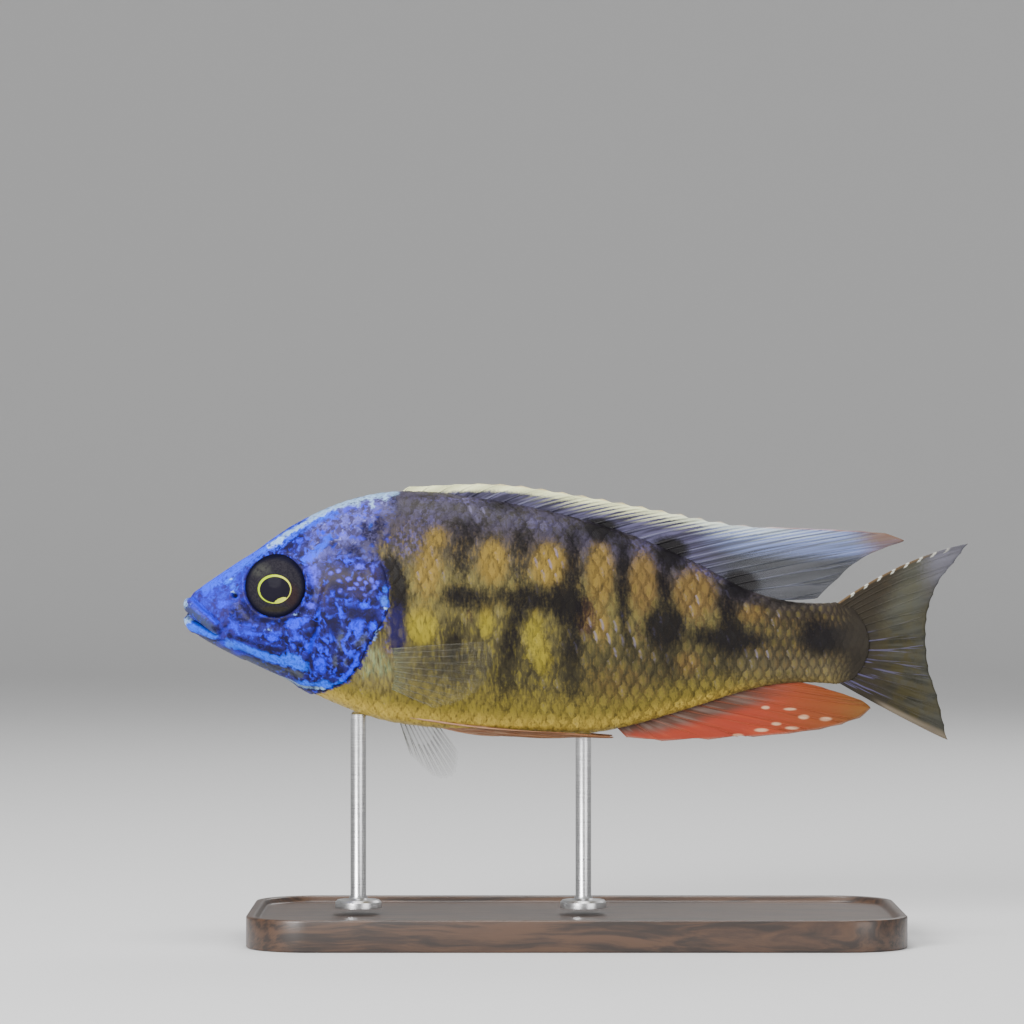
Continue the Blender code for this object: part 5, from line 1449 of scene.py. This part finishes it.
def caudal_material(name, rays):
    """Clear olive grey with dark bases to its rays, a pale rear edge and white-spotted top edge."""
    paint = Paint(name, Specular_IOR_Level=0.06, Coat_Weight=0.04, Coat_Roughness=0.25)
    behind = paint.behind
    ray, reach, streak = fin_places(paint, 2.2, 2.6)
    fine = paint.noise(paint.place, 2.2, 3.0)
    colour = paint.blend((0.018, 0.017, 0.012), (0.044, 0.042, 0.031), paint.ease(streak, 0.32, 0.68))
    olive = paint.ease(paint.noise(paint.place, 0.35, 2.0), 0.42, 0.58)
    colour = paint.blend(colour, (0.044, 0.036, 0.012), olive * 0.6)
    misty = paint.ease(reach, 0.3, 0.6) * (1 - paint.ease(reach, 0.85, 1.0))
    misty = misty * (1 - paint.ease(ray, 5.0, 9.0))
    colour = paint.blend(colour, (0.072, 0.074, 0.060), misty * 0.5)
    warm = (1 - paint.ease(ray, 2.0, 6.0)) * (1 - paint.ease(reach, 0.3, 0.6))
    colour = paint.blend(colour, (0.060, 0.040, 0.022), warm * paint.ease(fine, 0.35, 0.6) * 0.8)
    tips = paint.ease(behind + fine * 3, 141.0, 147.0) * (1 - paint.ease(ray, 2.0, 7.0))
    colour = paint.blend(colour, (0.125, 0.12, 0.155), tips * 0.85)
    pale = paint.ease(reach + (fine - 0.5) * 0.45, 0.74, 0.95)
    colour = paint.blend(colour, (0.050, 0.052, 0.046), pale * 0.3)
    root = 1 - paint.ease(reach * 25 + (fine - 0.5) * 6, 8.5, 18.0)
    colour = paint.blend(colour, TAIL_OLIVE, root * 0.9)
    lilac = paint.ease(streak, 0.56, 0.66) * paint.ease(ray, 8.0, 9.5)
    lilac = lilac * (1 - paint.ease(reach, 0.35, 0.6))
    colour = paint.blend(colour, (0.075, 0.068, 0.14), lilac * 0.7)
    top = 1 - paint.ease(ray, 0.10, 0.32)
    colour = paint.blend(colour, (0.13, 0.085, 0.045), top * 0.8 * (1 - tips))
    dots = (reach * 62.0 - 1.2).wave()
    beads = 1 - paint.ease(ray, 0.26, 0.52)
    dots = paint.ease(dots, 0.45, 0.95) * beads
    dots = dots * paint.ease(reach, 0.10, 0.13) * (1 - paint.ease(reach, 0.82, 0.9))
    colour = paint.blend(colour, (0.44, 0.44, 0.38), dots)
    low = paint.ease(ray, 14.3, 14.8) * paint.ease(reach, 0.32, 0.5)
    colour = paint.blend(colour, (0.16, 0.13, 0.095), low * 0.7)
    if rays:
        middle = 1 - paint.ease((paint.height - 54.5).size(), 3.0, 7.0)
        colour = paint.blend(colour, (0.085, 0.078, 0.15), middle * paint.ease(streak, 0.4, 0.6) * 0.6)
        colour = paint.blend(colour, (0.070, 0.068, 0.062), (1 - root) * 0.2)
        return paint.feed(Base_Color=colour, Roughness=0.45)
    clear = 0.955 + root * 0.045 + dots * 0.04
    normal = paint.bump(streak, 0.3, 0.0001)
    return paint.feed(Base_Color=colour, Roughness=0.45, Alpha=clear, Normal=normal)


def clear_material(name, rays):
    """The pectoral fins: nearly clear with greyish rays, yellow at the root."""
    paint = Paint(name, Specular_IOR_Level=0.15, Coat_Weight=0.1, Coat_Roughness=0.2)
    fine = paint.noise(paint.place, 2.0, 2.0)
    behind = paint.behind
    root = 1 - paint.ease(behind + fine * 2, 39.5, 46.0)
    out = paint.ease(behind, 44.0, 58.0)
    colour = paint.blend((0.13, 0.125, 0.10), (0.16, 0.18, 0.10), root)
    if rays:
        return paint.feed(Base_Color=colour, Roughness=0.4, Alpha=0.13 + root * 0.27 - out * 0.07)
    return paint.feed(Base_Color=colour, Roughness=0.35, Alpha=0.045 + root * 0.22)


def pelvic_material(name, rays):
    """Salmon pink with an orange outer edge."""
    paint = Paint(name, Specular_IOR_Level=0.15, Coat_Weight=0.15, Coat_Roughness=0.25)
    behind = paint.behind
    streak = paint.noise(paint.stretch(paint.place, (0.2, 1.5, 1.8)), 1.5, 2.0)
    colour = paint.blend((0.22, 0.10, 0.055), (0.32, 0.20, 0.13), paint.ease(streak, 0.35, 0.65))
    colour = paint.blend(colour, (0.21, 0.080, 0.024), paint.ease(behind, 56.0, 72.0) * 0.7)
    if rays:
        colour = paint.blend(colour, (0.33, 0.18, 0.105), 0.4)
        return paint.feed(Base_Color=colour, Roughness=0.4)
    return paint.feed(Base_Color=colour, Roughness=0.45, Alpha=0.92)


def one_fin(name, point, looks, rays, spines, notch, pleat, radii, side="", slot=None,
            facing=(0, 1, 0), thickness=0.13):
    """Make one fin: its membrane, in the solid's place, and its rays."""
    slot = slot or name + "_membrane"
    skin_look, ray_look = looks
    label = name + "_membrane" + side
    membrane = fin_membrane(label, point, rays, spines, notch, pleat, facing, thickness)
    finish(membrane, slot, skin_look, (name + "_fin" + side,))
    strands = fin_strands(name + "_rays" + side, ray_lines(point, rays, spines, *radii))
    finish(strands, slot, ray_look)


def fin_looks(name, material):
    """Give a fin's two materials: its membrane's and its rays'."""
    return material(name + "_skin", False), material(name + "_ray", True)


def all_fins(skin):
    """Make every fin."""
    one_fin("dorsal", dorsal_point, fin_looks("dorsal", dorsal_material), DORSAL_RAYS, DORSAL_SPINES,
            notch=(0.10, 0.012), pleat=0.16, radii=(0.26, 0.11))
    one_fin("anal", anal_point, fin_looks("anal", anal_material), ANAL_RAYS, ANAL_SPINES,
            notch=(0.08, 0.012), pleat=0.18, radii=(0.28, 0.11))
    one_fin("caudal", caudal_point, fin_looks("caudal", caudal_material), CAUDAL_RAYS, 0,
            notch=(0.0, 0.010), pleat=0.1, radii=(0.3, 0.1))
    clear = fin_looks("pectoral", clear_material)
    salmon = fin_looks("pelvic", pelvic_material)
    sides = (
        ("_left", -1, LEFT_PECTORAL_TIP_X, LEFT_PECTORAL_TIP_Z, LEFT_PECTORAL_SPLAY),
        ("_right", 1, RIGHT_PECTORAL_TIP_X, RIGHT_PECTORAL_TIP_Z, RIGHT_PECTORAL_SPLAY),
    )
    for word, side, tip_x, tip_z, splay in sides:
        point = pectoral_points(skin, side, tip_x, tip_z, splay)
        one_fin("pectoral", point, clear, PECTORAL_RAYS, 0, notch=(0.0, 0.015), pleat=0.08,
                radii=(0.2, 0.07), side=word, slot="clear_membrane", thickness=0.1)
        one_fin("pelvic", pelvic_points(side), salmon, PELVIC_RAYS, 1, notch=(0.05, 0.015), pleat=0.1,
                radii=(0.24, 0.09), side=word, facing=(0, 0, 1))


def eye_material():
    """A dark wet eye: black pupil, thin yellow ring, and an almost black iris, with a painted grey-olive
    highlight at its upper front.
    """
    shine = {"Specular_IOR_Level": 0.0, "Coat_Weight": 0.025, "Coat_Roughness": 0.08, "Coat_IOR": 1.33}
    paint = Paint("cichlid_eye", **shine)
    fine = paint.noise(paint.place, 3.0, 3.0)
    streak = paint.noise(paint.place, 1.1, 2.0)

    def ellipse(middle_x, middle_z, half_length, half_height, lean=0.0):
        across = paint.behind - middle_x
        up = (paint.height - middle_z - across * lean) / half_height
        across = across / half_length
        return (across * across + up * up) ** 0.5

    from_middle = ellipse(18.0, 67.5, 5.7, 5.7)
    iris = paint.blend((0.014, 0.013, 0.018), (0.023, 0.021, 0.026), paint.ease(fine, 0.35, 0.65))
    # Painted highlight: a soft grey-olive patch on the iris's upper front.
    olive = (1 - paint.ease(ellipse(15.2, 70.6, 2.6, 1.8), 0.3, 1.1)) * paint.ease(streak, 0.3, 0.6)
    iris = paint.blend(iris, (0.046, 0.047, 0.042), olive * 0.8)
    maroon = (1 - paint.ease(ellipse(21.2, 65.8, 1.6, 2.6), 0.4, 1.2)) * 0.6
    iris = paint.blend(iris, (0.028, 0.015, 0.014), maroon)
    lower = (1 - paint.ease(ellipse(18.0, 63.2, 3.4, 0.7), 0.4, 1.2)) * 0.6
    iris = paint.blend(iris, (0.026, 0.023, 0.014), lower)
    iris = paint.blend(iris, (0.005, 0.005, 0.014), paint.ease(from_middle, 0.82, 0.99))
    outer = ellipse(17.95, 67.00, 3.24, 2.77)
    inner = ellipse(18.05, 66.88, 2.92, 2.45)
    ring = (1 - paint.ease(outer, 0.965, 1.01)) * paint.ease(inner, 0.985, 1.02)
    wedge = 1 - paint.ease(ellipse(19.1, 64.85, 1.25, 0.52, 0.36), 0.8, 1.05)
    ring = ring.at_least(wedge * (1 - paint.ease(outer, 0.97, 1.04)))
    rearward = paint.ease(paint.behind + (fine - 0.5) * 2, 16.5, 20.5)
    gold = paint.blend((0.36, 0.49, 0.004), (0.55, 0.58, 0.07), rearward)
    colour = paint.blend(iris, gold, ring * (1 - paint.ease(outer, 0.99, 1.03)))
    pupil = (1 - paint.ease(inner, 0.95, 1.0)) * (1 - ring * 0.9)
    colour = paint.blend(colour, (0.012, 0.011, 0.017), pupil)
    return paint.feed(Base_Color=colour, Roughness=0.4 - ring * 0.1)


def eyes(skin):
    """Make both eyeballs, lens shaped, with the pupil standing a little out."""
    material = eye_material()
    x, z = EYE_CENTRE
    stand = flank_slope(skin, x, z)
    lean_along = flank_slope(skin, x + 0.5, z) - flank_slope(skin, x - 0.5, z)
    lean_up = flank_slope(skin, x, z + 0.5) - flank_slope(skin, x, z - 0.5)
    for word, side in (("left", -1), ("right", 1)):
        facing = Vector((-lean_along, side, -lean_up * EYE_TILT)).normalized()
        select_none()
        bpy.ops.mesh.primitive_uv_sphere_add(segments=72, ring_count=48, radius=1.0)
        piece = bpy.context.object
        piece.name = "eyeball_" + word
        turn = np.array(facing.to_track_quat("Z", "Y").to_matrix())
        spots = stored_points(piece) * (EYE_RADIUS, EYE_RADIUS, EYE_DEPTH)
        from_axis = np.hypot(spots[:, 0], spots[:, 1])
        front = spots[:, 2] > 0
        spots[:, 2] += np.where(front, PUPIL_RISE * (1 - ease(from_axis, 2.2, 3.2)), 0.0)
        middle = np.array((x, side * stand, z)) + np.array(facing) * (EYE_BULGE - EYE_DEPTH)
        move_points(piece, metres(spots @ turn.T + middle))
        finish(piece, "eye", material, ("eye_" + word,))


def wood_material():
    """Dark satin hardwood with long grain."""
    paint = Paint("base_wood", Specular_IOR_Level=0.5, Coat_Roughness=0.25)
    bent = paint.noise(paint.stretch(paint.place, (0.02, 0.09, 0.09)), 1.0, 3.0, output="Color")
    warped = paint.vectors("ADD", paint.place, paint.stretch(bent, (0.0, 9.0, 9.0)))
    grain = paint.noise(paint.stretch(warped, (0.035, 0.9, 0.9)), 1.0, 5.0, 0.6)
    pores = paint.noise(paint.stretch(paint.place, (0.25, 5.0, 5.0)), 1.0, 3.0, 0.7)
    colour = paint.blend((0.014, 0.0065, 0.0035), (0.060, 0.028, 0.013), paint.ease(grain, 0.36, 0.64))
    colour = paint.blend(colour, (0.008, 0.004, 0.002), paint.ease(pores, 0.6, 0.75) * 0.7)
    normal = paint.bump(pores + grain * 0.4, 0.12, 0.0002)
    return paint.feed(Base_Color=colour, Roughness=0.34 + pores * 0.2, Coat_Weight=0.35, Normal=normal)


def steel_material():
    """Brushed steel, with fine rings round the rod."""
    paint = Paint("rod_steel", Metallic=1.0)
    rings = paint.noise(paint.stretch(paint.place, (0.3, 0.3, 14.0)), 1.0, 3.0)
    colour = paint.blend((0.46, 0.46, 0.47), (0.66, 0.66, 0.66), paint.ease(rings, 0.3, 0.7))
    normal = paint.bump(rings, 0.1, 0.00005)
    return paint.feed(Base_Color=colour, Roughness=0.22 + rings * 0.16, Normal=normal)


def display_base():
    """Make the wooden base with round corners and a moulded edge."""
    select_none()
    bpy.ops.mesh.primitive_cube_add(size=1.0, location=(0, 0, BASE_HEIGHT / 2 * MM))
    piece = bpy.context.object
    piece.name = "display_base"
    piece.scale = (BASE_LENGTH * MM, BASE_WIDTH * MM, BASE_HEIGHT * MM)
    bpy.ops.object.transform_apply(location=True, rotation=True, scale=True)
    corner = piece.modifiers.new("corners", "BEVEL")
    corner.width = BASE_CORNER * MM
    corner.segments = 16
    corner.limit_method = "WEIGHT"
    weights = piece.data.attributes.new("bevel_weight_edge", "FLOAT", "EDGE")
    for edge in piece.data.edges:
        first, second = (piece.data.vertices[number].co for number in edge.vertices)
        weights.data[edge.index].value = 1.0 if abs(first.z - second.z) > MM else 0.0
    apply_all(piece)
    in_edit_mode(piece, lambda: bpy.ops.mesh.select_all(action="DESELECT"))
    rim = {vert.index for vert in piece.data.vertices if vert.co.z > BASE_HEIGHT * MM - 1e-6}
    for face in piece.data.polygons:
        face.select = rim.issuperset(face.vertices)
    bpy.ops.object.mode_set(mode="EDIT")
    bpy.ops.mesh.inset(thickness=BASE_BORDER * MM, depth=0.0)
    bpy.ops.mesh.inset(thickness=BASE_STEP * MM, depth=0.0)
    bpy.ops.object.mode_set(mode="OBJECT")
    for number in rim:
        piece.data.vertices[number].co.z -= RIM_DROP * MM
    softened = piece.modifiers.new("softened", "BEVEL")
    softened.width = BASE_SOFTENING * MM
    softened.segments = 3
    softened.limit_method = "ANGLE"
    softened.angle_limit = math.radians(20)
    apply_all(piece)
    finish(piece, "base_wood", wood_material(), ("stand_base",), smooth_angle=35)


def stand_rod(name, x, node, material):
    """Turn one rod with its foot plate, from the base up to the belly."""
    top = float(smooth(BELLY_LINE, x)) + 0.3
    foot = BASE_HEIGHT
    plate = foot + FLANGE_HEIGHT
    profile = [
        (0.0, top), (ROD_RADIUS - 0.4, top), (ROD_RADIUS, top - 0.5),
        (ROD_RADIUS, plate + 0.8), (ROD_RADIUS + 0.3, plate + 0.2), (ROD_RADIUS + 0.9, plate),
        (FLANGE_RADIUS - 0.5, plate - 0.1), (FLANGE_RADIUS - 0.1, plate - 0.5),
        (FLANGE_RADIUS, foot + 0.3), (FLANGE_RADIUS, foot), (0.0, foot),
    ]
    select_none()
    bpy.ops.mesh.primitive_circle_add(vertices=len(profile), radius=MM)
    piece = bpy.context.object
    piece.name = name
    move_points(piece, np.array([(radius, 0.0, height) for radius, height in profile]) * MM)
    for edge in piece.data.edges:
        edge.select = set(edge.vertices) == {0, len(profile) - 1}
    take(piece)
    bpy.ops.object.mode_set(mode="EDIT")
    bpy.ops.mesh.select_mode(type="EDGE")
    bpy.ops.mesh.delete(type="EDGE_FACE")
    bpy.ops.object.mode_set(mode="OBJECT")
    turned = piece.modifiers.new("turned", "SCREW")
    turned.steps = 48
    turned.render_steps = 48
    turned.use_merge_vertices = True
    turned.merge_threshold = 0.001 * MM
    apply_all(piece)
    in_edit_mode(piece, lambda: bpy.ops.mesh.remove_doubles(threshold=0.001 * MM))
    in_edit_mode(piece, lambda: bpy.ops.mesh.normals_make_consistent(inside=False))
    for vert in piece.data.vertices:
        vert.co.x += (x - TOTAL_LENGTH / 2) * MM
    finish(piece, "rod_steel", material, (node,), smooth_angle=35)


def studio():
    """Make the pale floor that curves up all round, the lights and the camera."""
    select_none()
    bpy.ops.mesh.primitive_circle_add(vertices=96, radius=FLOOR_RADIUS, fill_type="NGON")
    floor = bpy.context.object
    floor.name = "studio_floor"
    bpy.ops.object.mode_set(mode="EDIT")
    bpy.ops.mesh.select_mode(type="EDGE")
    bpy.ops.mesh.select_all(action="SELECT")
    bpy.ops.mesh.region_to_loop()
    for step in range(CURVE_STEPS):
        before = math.pi / 2 * step / CURVE_STEPS
        turn = math.pi / 2 * (step + 1) / CURVE_STEPS
        wider = FLOOR_RADIUS + CURVE_RADIUS * math.sin(turn)
        wider /= FLOOR_RADIUS + CURVE_RADIUS * math.sin(before)
        rise = CURVE_RADIUS * (math.cos(before) - math.cos(turn))
        bpy.ops.mesh.extrude_edges_move()
        bpy.ops.transform.resize(value=(wider, wider, 1.0))
        bpy.ops.transform.translate(value=(0, 0, rise))
    bpy.ops.mesh.extrude_edges_move()
    bpy.ops.transform.translate(value=(0, 0, WALL_HEIGHT))
    bpy.ops.object.mode_set(mode="OBJECT")
    paint = Paint("studio_paper", Roughness=0.85, Base_Color=(0.64, 0.64, 0.64, 1.0))
    floor.data.materials.append(paint.material)
    bpy.ops.object.shade_smooth()

    world = bpy.context.scene.world or bpy.data.worlds.new("studio")
    bpy.context.scene.world = world
    world.use_nodes = True
    world.node_tree.nodes["Background"].inputs["Color"].default_value = (1.0, 1.0, 1.0, 1.0)
    world.node_tree.nodes["Background"].inputs["Strength"].default_value = 0.55

    target = Vector((0.0, 0.0, 0.05))
    lights = (
        ("key", (-0.46, -0.78, 0.38), 0.40, 15.0), ("fill", (0.60, -0.80, 0.10), 0.60, 4.0),
        ("back", (0.25, 0.60, 0.60), 0.50, 2.5), ("top", (-0.05, -0.05, 0.65), 0.35, 3.5),
    )
    for name, place, size, power in lights:
        lamp = bpy.data.lights.new(name, "AREA")
        lamp.shape = "DISK"
        lamp.size = size
        lamp.energy = power
        holder = add_object(name + "_light", lamp)
        holder.location = place
        holder.rotation_euler = (target - Vector(place)).to_track_quat("-Z", "Y").to_euler()

    camera = bpy.data.cameras.new("camera")
    width = PHOTO_SIZE * MM_PER_PIXEL
    camera.sensor_width = SENSOR
    camera.lens = SENSOR * CAMERA_DISTANCE / width
    camera.clip_start = 0.01
    camera.clip_end = 20.0
    middle_x = (PHOTO_SIZE / 2 - SNOUT_COLUMN) * MM_PER_PIXEL - TOTAL_LENGTH / 2
    middle_z = LEVEL_HEIGHT + (LEVEL_ROW - PHOTO_SIZE / 2) * MM_PER_PIXEL
    holder = add_object("camera", camera)
    holder.location = (middle_x * MM, -CAMERA_DISTANCE * MM, middle_z * MM)
    holder.rotation_euler = (math.pi / 2, 0, 0)
    bpy.context.scene.camera = holder


studio()
body = Skin()
fish_skin(body)
scale_shape = one_scale()
coat = scale_material()
scale_coat(body, -1, "scales_left", scale_shape, coat, 11)
scale_coat(body, 1, "scales_right", scale_shape, coat, 12)
all_fins(body)
eyes(body)
display_base()
steel = steel_material()
stand_rod("rod_front", FRONT_ROD, "stand_rod_front", steel)
stand_rod("rod_rear", REAR_ROD, "stand_rod_rear", steel)
